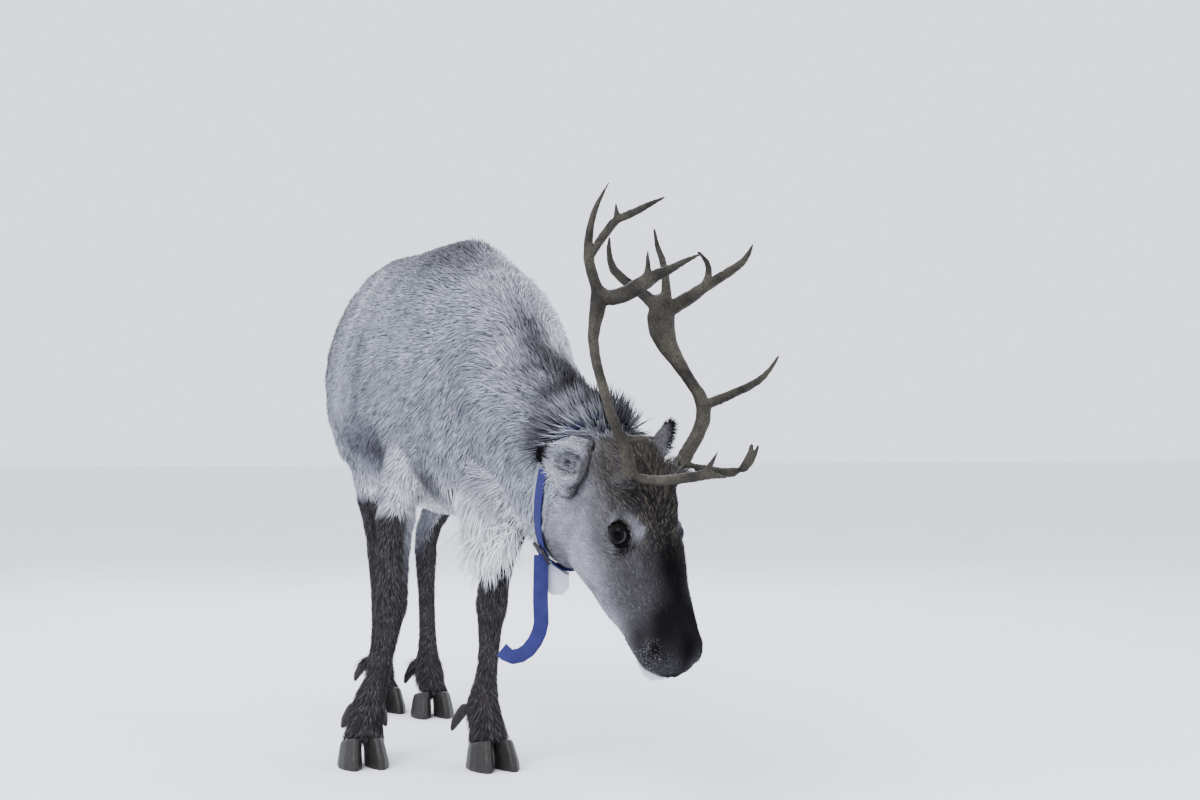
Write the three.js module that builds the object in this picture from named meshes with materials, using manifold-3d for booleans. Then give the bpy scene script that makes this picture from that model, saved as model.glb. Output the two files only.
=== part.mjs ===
// A reindeer standing with its head lowered and bent to its left, life size.
// Millimetres. +Z is up, the animal faces -Y and its own left side is +X.
// The design frame has its origin under the withers, a little below the floor.
import * as THREE from "three";
import { mergeVertices } from "three/addons/utils/BufferGeometryUtils.js";
import Module from "manifold-3d";

const wasm = await Module();
wasm.setup();

const GAP = 0.3;
const FLOOR = 20;
const UP = new THREE.Vector3(0, 0, 1);
const FORWARD = new THREE.Vector3(0, -1, 0);

// Colours and finishes.
function finish(color, roughness, metalness = 0) {
  return new THREE.MeshStandardMaterial({ color, roughness, metalness });
}

const COAT_PALE = finish(0xb9bac2, 0.95);
const COAT_WHITE = finish(0xdcdde4, 0.95);
const COAT_FACE = finish(0x77767c, 0.95);
const COAT_LEG = finish(0x4b4748, 0.95);
const HORN = finish(0x2b2826, 0.6);
const ANTLER = finish(0x6b6455, 0.75);
const EYE = finish(0x141014, 0.1);
const WEBBING = finish(0x3b46a0, 0.9);
const PLASTIC = finish(0x17181c, 0.5);
const TAG = finish(0xaeb2bd, 0.6);

// Solids and their joins and cuts.
function solid(geometry) {
  const bare = geometry.clone();
  bare.deleteAttribute("normal");
  bare.deleteAttribute("uv");
  const merged = mergeVertices(bare, 1e-4);
  const vertProperties = new Float32Array(merged.attributes.position.array);
  const triVerts = new Uint32Array(merged.index.array);
  const body = new wasm.Manifold(new wasm.Mesh({ numProp: 3, vertProperties, triVerts }));
  if (body.volume() > 0) return body;
  for (let i = 0; i < triVerts.length; i += 3) {
    [triVerts[i], triVerts[i + 1]] = [triVerts[i + 1], triVerts[i]];
  }
  return new wasm.Manifold(new wasm.Mesh({ numProp: 3, vertProperties, triVerts }));
}

function join(bodies) {
  return bodies.reduce((whole, body) => whole.add(body));
}

// The largest closed surface of a body, as a geometry.
function geometryOf(body) {
  const pieces = body.decompose();
  const largest = pieces.reduce((a, b) => (b.volume() > a.volume() ? b : a));
  const mesh = largest.getMesh();
  const positions = new Float32Array(mesh.numVert * 3);
  for (let i = 0; i < mesh.numVert; i++) {
    for (let k = 0; k < 3; k++) positions[3 * i + k] = mesh.vertProperties[mesh.numProp * i + k];
  }
  const geometry = new THREE.BufferGeometry();
  geometry.setAttribute("position", new THREE.BufferAttribute(positions, 3));
  geometry.setIndex(new THREE.BufferAttribute(new Uint32Array(mesh.triVerts), 1));
  geometry.computeVertexNormals();
  return geometry;
}

// Turns a geometry so that its own Z points along an axis and moves it to a point.
function setAlong(geometry, point, axis) {
  const unit = axis.clone().normalize();
  const reference = Math.abs(unit.dot(FORWARD)) > 0.9 ? UP : FORWARD;
  const across = new THREE.Vector3().crossVectors(reference, unit).normalize();
  const deep = new THREE.Vector3().crossVectors(unit, across);
  const turn = new THREE.Matrix4().makeBasis(across, deep, unit).setPosition(point);
  return geometry.applyMatrix4(turn);
}

// A box that stands on a plane: [width across, width front to back] and its height.
function boxOnPlane(point, axis, [across, deep], height) {
  const box = new THREE.BoxGeometry(across, deep, height);
  return setAlong(box.translate(0, 0, height / 2), point, axis);
}

// Takes what lies past a plane out of a body, within a box on that plane.
// Returns the piece and the rest, parted by the gap.
function takePast(body, point, axis, [across, deep], reach) {
  const piece = body.intersect(solid(boxOnPlane(point, axis, [across, deep], reach)));
  const start = point.clone().addScaledVector(axis.clone().normalize(), -GAP);
  const wider = [across + 2 * GAP, deep + 2 * GAP];
  return [piece, body.subtract(solid(boxOnPlane(start, axis, wider, reach + 2 * GAP)))];
}

// Lofts: a sphere's rings are laid along a curve through the stations.
// A station is { at, wide, up, down }: its centre, its half width to each side, and
// its half height towards and away from the reference direction.
const CAP_RINGS = 2;

// A flat end needs one ring of triangles, a round one more.
function capRings(cap) {
  return cap.map((length) => (length > 0 ? CAP_RINGS : 1));
}

function sectionPoint(angle, size, power) {
  const c = Math.cos(angle);
  const s = Math.sin(angle);
  const n = s > 0 ? power.up : power.down;
  const across = size.x * Math.sign(c) * Math.abs(c) ** (2 / n);
  const reach = s > 0 ? size.y : size.z;
  return [across, reach * Math.sign(s) * Math.abs(s) ** (2 / n)];
}

class Loft {
  constructor(stations, { around, along, toward = UP, cap = [0, 0], power = { up: 2, down: 2 } }) {
    this.path = new THREE.CatmullRomCurve3(stations.map((s) => new THREE.Vector3(...s.at)));
    const sizes = stations.map((s) => new THREE.Vector3(s.wide, s.up, s.down ?? s.up));
    this.sizes = new THREE.CatmullRomCurve3(sizes, false, "catmullrom", 0.5);
    Object.assign(this, { around, along, toward, cap, power });
  }

  frame(t) {
    const tangent = this.path.getTangent(THREE.MathUtils.clamp(t, 0.001, 0.999));
    const side = new THREE.Vector3().crossVectors(tangent, this.toward).normalize();
    const up = new THREE.Vector3().crossVectors(side, tangent).normalize();
    return { centre: this.path.getPoint(t), tangent, side, up };
  }

  // A point of the surface at a share of the length and an angle, moved out by a height.
  // Angle 0 is to the right of the loft's run, a quarter turn is the reference direction.
  // On the neck, which runs forwards, that is the animal's right and its crest.
  surface(t, angle, height = 0) {
    const { centre, side, up } = this.frame(t);
    const size = this.sizes.getPoint(t).addScalar(height);
    const [across, reach] = sectionPoint(angle, size, this.power);
    return centre.addScaledVector(side, across).addScaledVector(up, reach);
  }

  geometry() {
    const [first, last] = capRings(this.cap);
    const rings = this.along + first + last;
    const geometry = new THREE.SphereGeometry(1, this.around, rings);
    const position = geometry.attributes.position;
    for (let ring = 0; ring <= rings; ring++) {
      const inFirst = Math.min(ring / first, 1);
      const inLast = Math.min((rings - ring) / last, 1);
      const t = THREE.MathUtils.clamp((ring - first) / this.along, 0, 1);
      const share = Math.sin((Math.min(inFirst, inLast) * Math.PI) / 2);
      const { centre, tangent, side, up } = this.frame(t);
      centre.addScaledVector(tangent, -this.cap[0] * Math.cos((inFirst * Math.PI) / 2));
      centre.addScaledVector(tangent, this.cap[1] * Math.cos((inLast * Math.PI) / 2));
      const size = this.sizes.getPoint(t).multiplyScalar(share);
      for (let column = 0; column <= this.around; column++) {
        const angle = (2 * Math.PI * (column % this.around)) / this.around;
        const [across, reach] = sectionPoint(angle, size, this.power);
        const point = centre.clone().addScaledVector(side, across).addScaledVector(up, reach);
        position.setXYZ(ring * (this.around + 1) + column, point.x, point.y, point.z);
      }
    }
    return geometry;
  }

  solid() {
    return solid(this.geometry());
  }
}

// A round tapering tube through points given as [x, y, z, radius], flat at its start.
const TUBE_TOWARD = new THREE.Vector3(0.3, -0.9, 0.31);

function horn(points, { around, along }) {
  const stations = points.map(([x, y, z, r]) => ({ at: [x, y, z], wide: r, up: r }));
  const last = points.at(-1)[3];
  return new Loft(stations, { around, along, cap: [0, last], toward: TUBE_TOWARD });
}

function ellipsoid(centre, halves, around = 16, rings = 10) {
  const ball = new THREE.SphereGeometry(1, around, rings);
  ball.scale(...halves);
  ball.translate(...centre);
  return solid(ball);
}

const nodes = new THREE.Group();

function addNode(name, body, material) {
  const mesh = new THREE.Mesh(geometryOf(body), material);
  mesh.name = name;
  nodes.add(mesh);
}

const SIDES = [
  { name: "right", sign: -1 },
  { name: "left", sign: 1 },
];

// Trunk: rump to breast. The centre of each station is at its widest level.
const TRUNK = [
  { at: [-2, 800, 742], wide: 66, up: 82, down: 120 },
  { at: [-3, 755, 738], wide: 126, up: 176, down: 168 },
  { at: [-4, 690, 728], wide: 160, up: 247, down: 178 },
  { at: [-5, 600, 712], wide: 170, up: 278, down: 190 },
  { at: [-6, 480, 690], wide: 177, up: 294, down: 190 },
  { at: [-7, 330, 672], wide: 187, up: 306, down: 198 },
  { at: [-8, 180, 666], wide: 183, up: 311, down: 206 },
  { at: [-8, 40, 666], wide: 166, up: 310, down: 210 },
  { at: [-4, -60, 674], wide: 150, up: 292, down: 206 },
  { at: [2, -140, 690], wide: 124, up: 232, down: 188 },
];
const trunk = new Loft(TRUNK, {
  around: 24,
  along: 15,
  cap: [34, 52],
  power: { up: 1.85, down: 2.1 },
});

// Neck: out of the shoulders, forwards and down, bending to the left.
const NECK = [
  { at: [-4, 20, 735], wide: 134, up: 224, down: 170 },
  { at: [8, -105, 716], wide: 134, up: 190, down: 190 },
  { at: [24, -220, 672], wide: 103, up: 125, down: 194 },
  { at: [42, -330, 614], wide: 94, up: 102, down: 184 },
  { at: [58, -418, 566], wide: 93, up: 108, down: 174 },
  { at: [72, -482, 536], wide: 86, up: 108, down: 158 },
  { at: [86, -532, 516], wide: 62, up: 84, down: 100 },
];
const neck = new Loft(NECK, {
  around: 20,
  along: 12,
  cap: [40, 20],
  power: { up: 1.9, down: 2 },
});

// Mane of the throat and breast. The core stops half way to the tips of the hair, and
// the locks reach to the tips.
const MANE = [
  { at: [2, -330, 512], core: [30, 60, 46], tips: [36, 60, 62] },
  { at: [-24, -280, 502], core: [32, 70, 66], tips: [44, 70, 96] },
  { at: [-46, -226, 494], core: [28, 80, 66], tips: [42, 80, 130] },
  { at: [-46, -165, 508], core: [38, 80, 62], tips: [50, 80, 102] },
  { at: [-28, -110, 534], core: [46, 70, 60], tips: [50, 70, 68] },
];

function maneForm(surface) {
  const stations = MANE.map((station) => {
    const [wide, up, down] = station[surface];
    return { at: station.at, wide, up, down };
  });
  return new Loft(stations, { around: 10, along: 5, cap: [24, 30] });
}
const maneCore = maneForm("core");
const maneTips = maneForm("tips");

// A lock hangs down and a little back from its root and bends as it falls. Its shape is
// given by shares of its length, width and thickness and of its bow away from the core.
const LOCK_SHAPE = [
  { share: 0, wide: 0.8, thick: 1, bow: 0 },
  { share: 0.4, wide: 1, thick: 0.9, bow: 1 },
  { share: 0.75, wide: 0.7, thick: 0.6, bow: 0.6 },
  { share: 1, wide: 0.12, thick: 0.2, bow: 0 },
];
const LOCKS = {
  seed: 5,
  angles: [-0.3, -0.95, -1.57, -2.2, -2.85],
  columns: 5,
  from: 0.06,
  to: 0.7,
  sunk: 14,
  wide: 14,
  thick: 4.5,
  bow: 7,
  back: 0.07,
  gather: 0.5,
  uneven: 4,
};
const MANE_BOTTOM = -Math.PI / 2;

// Repeatable random numbers from 0 to 1.
function seeded(seed) {
  let state = seed;
  return () => {
    state = (1664525 * state + 1013904223) % 4294967296;
    return state / 4294967296;
  };
}

function maneLock(t, angle, random) {
  const spread = (amount) => amount * (2 * random() - 1);
  const inner = maneCore.surface(t, angle, -LOCKS.sunk);
  const out = maneCore.surface(t, angle).sub(inner).normalize();
  const low = THREE.MathUtils.lerp(angle, MANE_BOTTOM, LOCKS.gather) + spread(0.12);
  const tip = maneTips.surface(t + LOCKS.back + spread(0.03), low, -LOCKS.uneven * random());
  const size = 1 + spread(0.15);
  const stations = LOCK_SHAPE.map(({ share, wide, thick, bow }) => ({
    at: inner.clone().lerp(tip, share).addScaledVector(out, bow * LOCKS.bow).toArray(),
    wide: wide * LOCKS.wide * size,
    up: thick * LOCKS.thick,
  }));
  const toward = new THREE.Vector3(out.x, -0.5, 0.2).normalize();
  return new Loft(stations, { around: 4, along: 2, toward }).solid();
}

function maneSolid() {
  const random = seeded(LOCKS.seed);
  const step = (LOCKS.to - LOCKS.from) / (LOCKS.columns - 1);
  let form = maneCore.solid();
  LOCKS.angles.forEach((angle, row) => {
    const between = row % 2;
    for (let column = 0; column < LOCKS.columns - between; column++) {
      const t = LOCKS.from + step * (column + between / 2);
      form = form.add(maneLock(t, angle, random));
    }
  });
  return form;
}

// Shoulders and haunches raise the trunk where the legs join it.
function shoulder(sign) {
  return new Loft(
    [
      { at: [sign * 30 - 4, 20, 870], wide: 36, up: 70 },
      { at: [sign * 74 - 2, -6, 780], wide: 46, up: 104 },
      { at: [sign * 98, -24, 680], wide: 52, up: 112 },
      { at: [sign * 102 - 2, -8, 606], wide: 50, up: 92 },
    ],
    { around: 12, along: 5, cap: [30, 40], toward: FORWARD },
  );
}

function haunch(sign) {
  return new Loft(
    [
      { at: [sign * 70, 610, 860], wide: 56, up: 110 },
      { at: [sign * 98, 640, 760], wide: 66, up: 132 },
      { at: [sign * 106, 628, 660], wide: 60, up: 132 },
      { at: [sign * 96, 610, 580], wide: 50, up: 104 },
    ],
    { around: 12, along: 6, cap: [40, 34], toward: FORWARD },
  );
}

// Legs. Each station is [x, y, z, half width, half depth], from the trunk to the hoof.
const LEGS = [
  {
    name: "foreleg_right",
    kind: "fore",
    stations: [
      [-112, 26, 600, 46, 80],
      [-134, 40, 545, 43, 62],
      [-148, 34, 470, 37, 46],
      [-155, 26, 390, 31, 36],
      [-159, 20, 330, 31, 33],
      [-162, 18, 300, 31, 33],
      [-165, 24, 262, 24, 26],
      [-175, 30, 205, 21, 23],
      [-186, 36, 160, 24, 27],
      [-196, 34, 134, 29, 31],
      [-208, 18, 94, 32, 34],
      [-216, 0, 54, 34, 40],
    ],
    joint: [-161, 20, 316],
    foot: { x: -219, y: -6, turn: 0 },
  },
  {
    name: "foreleg_left",
    kind: "fore",
    stations: [
      [96, -30, 600, 46, 80],
      [84, -46, 545, 43, 60],
      [52, -52, 470, 37, 44],
      [22, -54, 390, 31, 35],
      [9, -56, 330, 31, 33],
      [7, -56, 300, 30, 33],
      [5, -52, 262, 23, 26],
      [2, -50, 205, 20, 23],
      [-3, -50, 160, 23, 27],
      [-8, -54, 134, 28, 31],
      [-8, -74, 94, 31, 34],
      [-6, -94, 54, 34, 40],
    ],
    joint: [4, -56, 316],
    foot: { x: -6, y: -100, turn: 4 },
  },
  {
    name: "hindleg_right",
    kind: "hind",
    stations: [
      [-92, 590, 600, 54, 104],
      [-84, 606, 545, 42, 80],
      [-68, 660, 485, 33, 57],
      [-48, 714, 428, 27, 44],
      [-39, 732, 386, 27, 38],
      [-38, 730, 345, 23, 31],
      [-37, 724, 270, 19, 24],
      [-37, 717, 205, 18.5, 23],
      [-38, 712, 152, 21, 26],
      [-39, 708, 126, 26, 30],
      [-40, 690, 90, 28, 31],
      [-41, 670, 54, 31, 37],
    ],
    joint: [-38, 731, 366],
    foot: { x: -42, y: 664, turn: 3 },
  },
  {
    name: "hindleg_left",
    kind: "hind",
    stations: [
      [104, 560, 600, 54, 104],
      [98, 574, 545, 42, 80],
      [84, 618, 485, 33, 57],
      [66, 666, 428, 27, 44],
      [58, 684, 386, 27, 38],
      [56, 680, 345, 23, 31],
      [55, 668, 270, 19, 24],
      [54, 657, 205, 18.5, 23],
      [52, 642, 152, 21, 26],
      [50, 633, 126, 26, 30],
      [48, 606, 90, 28, 31],
      [45, 578, 54, 31, 37],
    ],
    joint: [57, 683, 366],
    foot: { x: 43, y: 570, turn: -4 },
  },
];

// The point of the hock stands out behind the leg.
const HEEL = { station: 4, back: 22, above: 22, halves: [15, 20, 34] };

function legSolid({ stations, kind }) {
  const rings = stations.map(([x, y, z, wide, deep]) => ({ at: [x, y, z], wide, up: deep }));
  const leg = new Loft(rings, { around: 10, along: 15, cap: [30, 0], toward: FORWARD }).solid();
  if (kind === "fore") return leg;
  const [x, y, z] = stations[HEEL.station];
  return leg.add(ellipsoid([x, y + HEEL.back, z + HEEL.above], HEEL.halves, 10, 8));
}

// Hooves: two claws and two dew claws to each foot. Their heights are from the floor.
const CORONET = { front: 56, back: 38, length: 90 };
const FOOT_BOX = [150, 180];
const FOOT_REACH = 120;
const CLAW = [
  { z: 64, out: 17, ahead: -2, wide: 14, long: 34 },
  { z: 36, out: 21, ahead: 6, wide: 19, long: 42 },
  { z: 8, out: 24, ahead: 14, wide: 21.5, long: 49 },
  { z: -20, out: 25, ahead: 18, wide: 22, long: 51 },
];

function placeInFoot(geometry, { x, y, turn }) {
  geometry.rotateZ(THREE.MathUtils.degToRad(turn));
  geometry.translate(x, y, FLOOR);
  return geometry;
}

function clawSolid(foot, sign) {
  const rings = CLAW.map(({ z, out, ahead, wide, long }) => ({
    at: [sign * out, -ahead, z],
    wide,
    up: long,
  }));
  const loft = new Loft(rings, {
    around: 10,
    along: 3,
    toward: FORWARD,
    power: { up: 1.55, down: 2.4 },
  });
  return solid(placeInFoot(loft.geometry(), foot));
}

// The plane of the coronet falls from the front of the foot to its back, and points down.
function coronetPlane({ x, y, turn }) {
  const slope = Math.atan2(CORONET.front - CORONET.back, CORONET.length);
  const down = new THREE.Vector3(0, -Math.sin(slope), -Math.cos(slope));
  down.applyAxisAngle(UP, THREE.MathUtils.degToRad(turn));
  const height = FLOOR + (CORONET.front + CORONET.back) / 2;
  return { point: new THREE.Vector3(x, y, height), down };
}

// A claw from the coronet down to its flat sole on the floor.
function standingClaw(foot, sign) {
  const { point, down } = coronetPlane(foot);
  const [below] = takePast(clawSolid(foot, sign), point, down, FOOT_BOX, FOOT_REACH);
  const [claw] = takePast(below, new THREE.Vector3(foot.x, foot.y, FLOOR), UP, FOOT_BOX, FOOT_REACH);
  return claw;
}

// A dew claw as [out, back, z, radius] from the middle of the fetlock.
const DEW_CLAW = [
  [12, 14, 114, 9],
  [23, 37, 95, 11],
  [34, 51, 74, 10],
  [40, 57, 57, 5],
];
const FETLOCK_STATION = 9;

function fetlockPlace({ stations, foot }) {
  const [x, y] = stations[FETLOCK_STATION];
  return { x, y, turn: foot.turn };
}

function dewClaw(leg, sign) {
  const points = DEW_CLAW.map(([out, back, z, r]) => [sign * out, back, z, r]);
  const loft = horn(points, { around: 7, along: 4 });
  return solid(placeInFoot(loft.geometry(), fetlockPlace(leg)));
}

function dewClawCut(leg, sign) {
  const { x, y, turn } = fetlockPlace(leg);
  const [start, end] = [DEW_CLAW[1], DEW_CLAW[2]].map(([out, back, z]) =>
    new THREE.Vector3(sign * out, back, z).applyAxisAngle(UP, THREE.MathUtils.degToRad(turn)),
  );
  return { point: start.clone().add(new THREE.Vector3(x, y, FLOOR)), axis: end.sub(start) };
}

// Head. It is built in its own frame: x to its left, y back from the nose, z to its brow.
const HEAD_POSE = {
  nose: new THREE.Vector3(132.9, -673.1, 264.3),
  yaw: 17.9,
  pitch: 62.5,
  roll: 2.8,
};

function headMatrix() {
  const { nose, yaw, pitch, roll } = HEAD_POSE;
  const turn = new THREE.Euler(...[pitch, roll, yaw].map(THREE.MathUtils.degToRad), "ZXY");
  return new THREE.Matrix4().makeRotationFromEuler(turn).setPosition(nose);
}
const headToDesign = headMatrix();

function headPoint(x, y, z) {
  return new THREE.Vector3(x, y, z).applyMatrix4(headToDesign);
}

function headDirection(x, y, z) {
  return new THREE.Vector3(x, y, z).transformDirection(headToDesign);
}

function inHead(body) {
  return body.transform(headToDesign.toArray());
}

const SKULL = [
  { at: [0, -8, -4], wide: 26, up: 24, down: 30 },
  { at: [0, 6, -4], wide: 45, up: 38, down: 40 },
  { at: [0, 28, -4], wide: 53, up: 45, down: 52 },
  { at: [0, 56, -3], wide: 53, up: 48, down: 68 },
  { at: [0, 90, 0], wide: 51, up: 52, down: 92 },
  { at: [0, 130, 2], wide: 53, up: 56, down: 118 },
  { at: [0, 170, 6], wide: 59, up: 60, down: 140 },
  { at: [0, 210, 8], wide: 65, up: 64, down: 158 },
  { at: [0, 250, 8], wide: 68, up: 72, down: 168 },
  { at: [0, 290, 4], wide: 68, up: 78, down: 166 },
  { at: [0, 330, -6], wide: 66, up: 76, down: 146 },
  { at: [0, 362, -16], wide: 58, up: 60, down: 112 },
];
const skull = new Loft(SKULL, {
  around: 22,
  along: 17,
  cap: [10, 26],
  power: { up: 2.3, down: 2.1 },
});

// The eyes, their orbits and the opening of the lids, given for the left side.
const EYE_BALL = { x: 49.5, y: 208, z: 23, radius: 20.5 };
const ORBIT = { x: 44, y: 210, z: 27, halves: [28, 44, 31] };
const LIDS = { gaze: [0.8, -0.34, 0.42], wide: 18, high: 16, near: 0.3, reach: 40 };

function eyeBall(sign, extra = 0) {
  const { x, y, z, radius } = EYE_BALL;
  return ellipsoid([sign * x, y, z], Array(3).fill(radius + extra), 14, 10);
}

// A cone that opens outwards and has the lids' half sizes at the ball's surface.
function lidOpening(sign) {
  const gaze = new THREE.Vector3(sign * LIDS.gaze[0], LIDS.gaze[1], LIDS.gaze[2]).normalize();
  const centre = new THREE.Vector3(sign * EYE_BALL.x, EYE_BALL.y, EYE_BALL.z);
  const stations = [LIDS.near, 0.6, 1].map((share) => {
    const distance = share * LIDS.reach;
    return {
      at: centre.clone().addScaledVector(gaze, distance).toArray(),
      wide: (LIDS.wide * distance) / EYE_BALL.radius,
      up: (LIDS.high * distance) / EYE_BALL.radius,
    };
  });
  return new Loft(stations, { around: 12, along: 2 }).solid();
}

// Nostrils as ellipsoids cut into the muzzle, given for the left side.
const NOSTRIL = { at: [46, 23, 19], halves: [10, 12, 8] };

// The line of the mouth: shares of the skull's length and heights, from corner to front.
const MOUTH = [
  { t: 0.29, z: -56 },
  { t: 0.22, z: -48 },
  { t: 0.15, z: -40 },
  { t: 0.08, z: -33 },
  { t: 0.02, z: -28 },
];
const MOUTH_FRONT = [0, -14.5, -26];
const MOUTH_RADIUS = 3;
const CHIN = { at: [0, 16, -49], halves: [31, 28, 15] };

function skullSide(t, z) {
  const centre = skull.path.getPoint(t);
  const size = skull.sizes.getPoint(t);
  const share = Math.abs(z - centre.z) / size.z;
  const { down } = skull.power;
  return [size.x * (1 - share ** down) ** (1 / down), centre.y, z];
}

function mouthLine() {
  const left = MOUTH.map(({ t, z }) => skullSide(t, z));
  const right = left.map(([x, y, z]) => [-x, y, z]).reverse();
  const points = [...left, MOUTH_FRONT, ...right].map((p) => [...p, MOUTH_RADIUS]);
  return horn(points, { around: 4, along: 16 }).solid();
}

// Ears: a leaf with a hollow, in the head's frame. Each has its own turn in this pose.
const EARS = {
  right: { base: [-56, 320, 10], tip: [-128, 362, -12], open: [-0.45, -0.5, 0.72] },
  left: { base: [60, 322, 8], tip: [112, 397, 26], open: [0.88, -0.45, 0.15] },
};
const EAR_LEAF = [
  { share: 0, wide: 15, front: 12, back: 13 },
  { share: 0.25, wide: 27, front: 15, back: 17 },
  { share: 0.5, wide: 33, front: 14, back: 17 },
  { share: 0.75, wide: 28, front: 10, back: 13 },
  { share: 1, wide: 13, front: 5, back: 6 },
];
const EAR_WALL = 4;
const EAR_CUT = { share: 0.16, width: [96, 96], reach: 120 };

function earLeaf({ base, tip, open }, shrink, lift, shares) {
  const foot = new THREE.Vector3(...base);
  const axis = new THREE.Vector3(...tip).sub(foot);
  const front = new THREE.Vector3(...open).normalize();
  const stations = EAR_LEAF.filter(({ share }) => share >= shares[0] && share <= shares[1]).map((s) => ({
    at: foot.clone().addScaledVector(axis, s.share).addScaledVector(front, lift).toArray(),
    wide: s.wide - shrink,
    up: s.front + lift,
    down: s.back + lift - shrink,
  }));
  return new Loft(stations, { around: 12, along: 5, cap: [4, 8 - shrink], toward: front }).solid();
}

function ear(side) {
  const leaf = earLeaf(EARS[side], 0, 0, [0, 1]);
  return leaf.subtract(earLeaf(EARS[side], EAR_WALL, 10, [0.25, 1]));
}

function earCut(side) {
  const { base, tip } = EARS[side];
  const foot = headPoint(...base);
  const axis = headPoint(...tip).sub(foot);
  return { point: foot.clone().addScaledVector(axis, EAR_CUT.share), axis };
}

function headSolid() {
  let head = skull.solid().add(ellipsoid(CHIN.at, CHIN.halves, 12, 8));
  for (const { sign } of SIDES) {
    const { x, y, z, halves } = ORBIT;
    head = head.add(ellipsoid([sign * x, y, z], halves, 14, 10));
    head = head.subtract(eyeBall(sign, GAP)).subtract(lidOpening(sign));
    head = head.subtract(ellipsoid([sign * NOSTRIL.at[0], NOSTRIL.at[1], NOSTRIL.at[2]], NOSTRIL.halves, 8, 6));
  }
  head = head.subtract(mouthLine());
  for (const { name } of SIDES) head = head.add(ear(name));
  return inHead(head);
}

// Antlers. Each line of points is [x, y, z, radius] from the antler's burr.
const ANTLERS = {
  right: {
    burr: [71, -633, 546],
    beam: [
      [6, 0, -16, 15],
      [0, -2, 14, 11],
      [-8, -8, 50, 9],
      [-27, -10, 84, 8],
      [-42, -13, 128, 7.5],
      [-46, 15, 172, 7.5],
      [-44, 42, 215, 8.5],
      [-37, 48, 250, 11],
      [-31, 48, 284, 14],
    ],
    brow: [
      [0, 0, 2, 8],
      [13, -36, -1, 7.5],
      [28, -72, -2, 7.5],
      [48, -112, 2, 8],
      [66, -144, 7, 8],
      [80, -158, 7, 5],
      [93, -169, 4, 2],
    ],
    browSpike: [
      [66, -144, 6, 6],
      [77, -153, 25, 4],
      [85, -158, 43, 1.5],
    ],
    bez: [
      [-8, -8, 60, 6],
      [5, -38, 61, 5],
      [18, -67, 63, 2.5],
    ],
    rear: [
      [-31, 48, 282, 11],
      [-42, 47, 310, 8.5],
      [-50, 46, 340, 8.5],
      [-50, 44, 374, 6.5],
      [-45, 36, 409, 5],
      [-37, 25, 433, 3.5],
      [-28, 14, 454, 1.5],
    ],
    rearBranch: [
      [-48, 45, 342, 6],
      [-38, 24, 366, 7],
      [-22, 0, 394, 7.5],
      [-3, -24, 404, 6],
      [16, -41, 415, 5],
      [37, -58, 426, 2],
    ],
    rearSpike: [
      [-22, -5, 396, 5],
      [-22, -6, 409, 3.5],
      [-23, -7, 422, 1.5],
    ],
    front: [
      [-31, 48, 280, 12],
      [-15, 26, 279, 12.5],
      [0, 5, 285, 12.5],
      [15, -18, 297, 13],
      [30, -40, 309, 10],
      [45, -59, 317, 7],
      [60, -77, 327, 5],
      [82, -100, 339, 2],
    ],
    frontSpike: [
      [20, -27, 300, 7],
      [22, -27, 328, 4],
      [22, -25, 350, 1.5],
    ],
  },
  left: {
    burr: [165, -607, 565],
    beam: [
      [-4, 2, -16, 15],
      [3, 2, 4, 12],
      [14, 3, 22, 11],
      [34, 8, 52, 11],
      [45, 13, 84, 12],
      [40, 20, 110, 10],
      [30, 32, 130, 9],
      [15, 50, 162, 11.5],
      [-2, 62, 195, 17],
      [-9, 66, 226, 23],
      [-8, 64, 256, 17],
    ],
    brow: [
      [4, 0, -4, 8],
      [22, -38, -6, 8],
      [33, -64, -9, 8],
      [44, -94, -10, 7.5],
      [56, -124, -3, 7],
      [64, -141, 13, 5],
      [68, -153, 32, 2],
    ],
    browSpike: [
      [56, -124, -2, 6],
      [62, -136, 22, 4],
      [64, -143, 46, 1.5],
    ],
    outer: [
      [43, 13, 94, 9],
      [60, -9, 102, 8],
      [79, -36, 114, 7],
      [99, -63, 127, 6],
      [112, -83, 143, 4.5],
      [123, -101, 168, 2],
    ],
    rear: [
      [-3, 64, 240, 13],
      [-24, 73, 262, 11],
      [-41, 83, 278, 8],
      [-59, 93, 293, 8],
      [-76, 102, 311, 7],
      [-82, 106, 334, 5],
      [-81, 108, 364, 2],
    ],
    middle: [
      [-1, 64, 250, 11],
      [0, 65, 288, 7],
      [-4, 68, 322, 6],
      [-12, 73, 347, 4.5],
      [-16, 77, 376, 2],
    ],
    front: [
      [0, 64, 244, 11],
      [14, 50, 254, 12],
      [27, 29, 265, 11],
      [43, 3, 280, 9],
      [59, -25, 294, 8],
      [75, -55, 309, 6.5],
      [83, -73, 323, 4.5],
      [86, -88, 340, 2],
    ],
    frontSpike: [
      [43, 3, 280, 7],
      [48, 0, 306, 5],
      [41, -1, 322, 4],
      [30, 1, 334, 2.5],
      [18, 3, 340, 1.5],
    ],
  },
};

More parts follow.
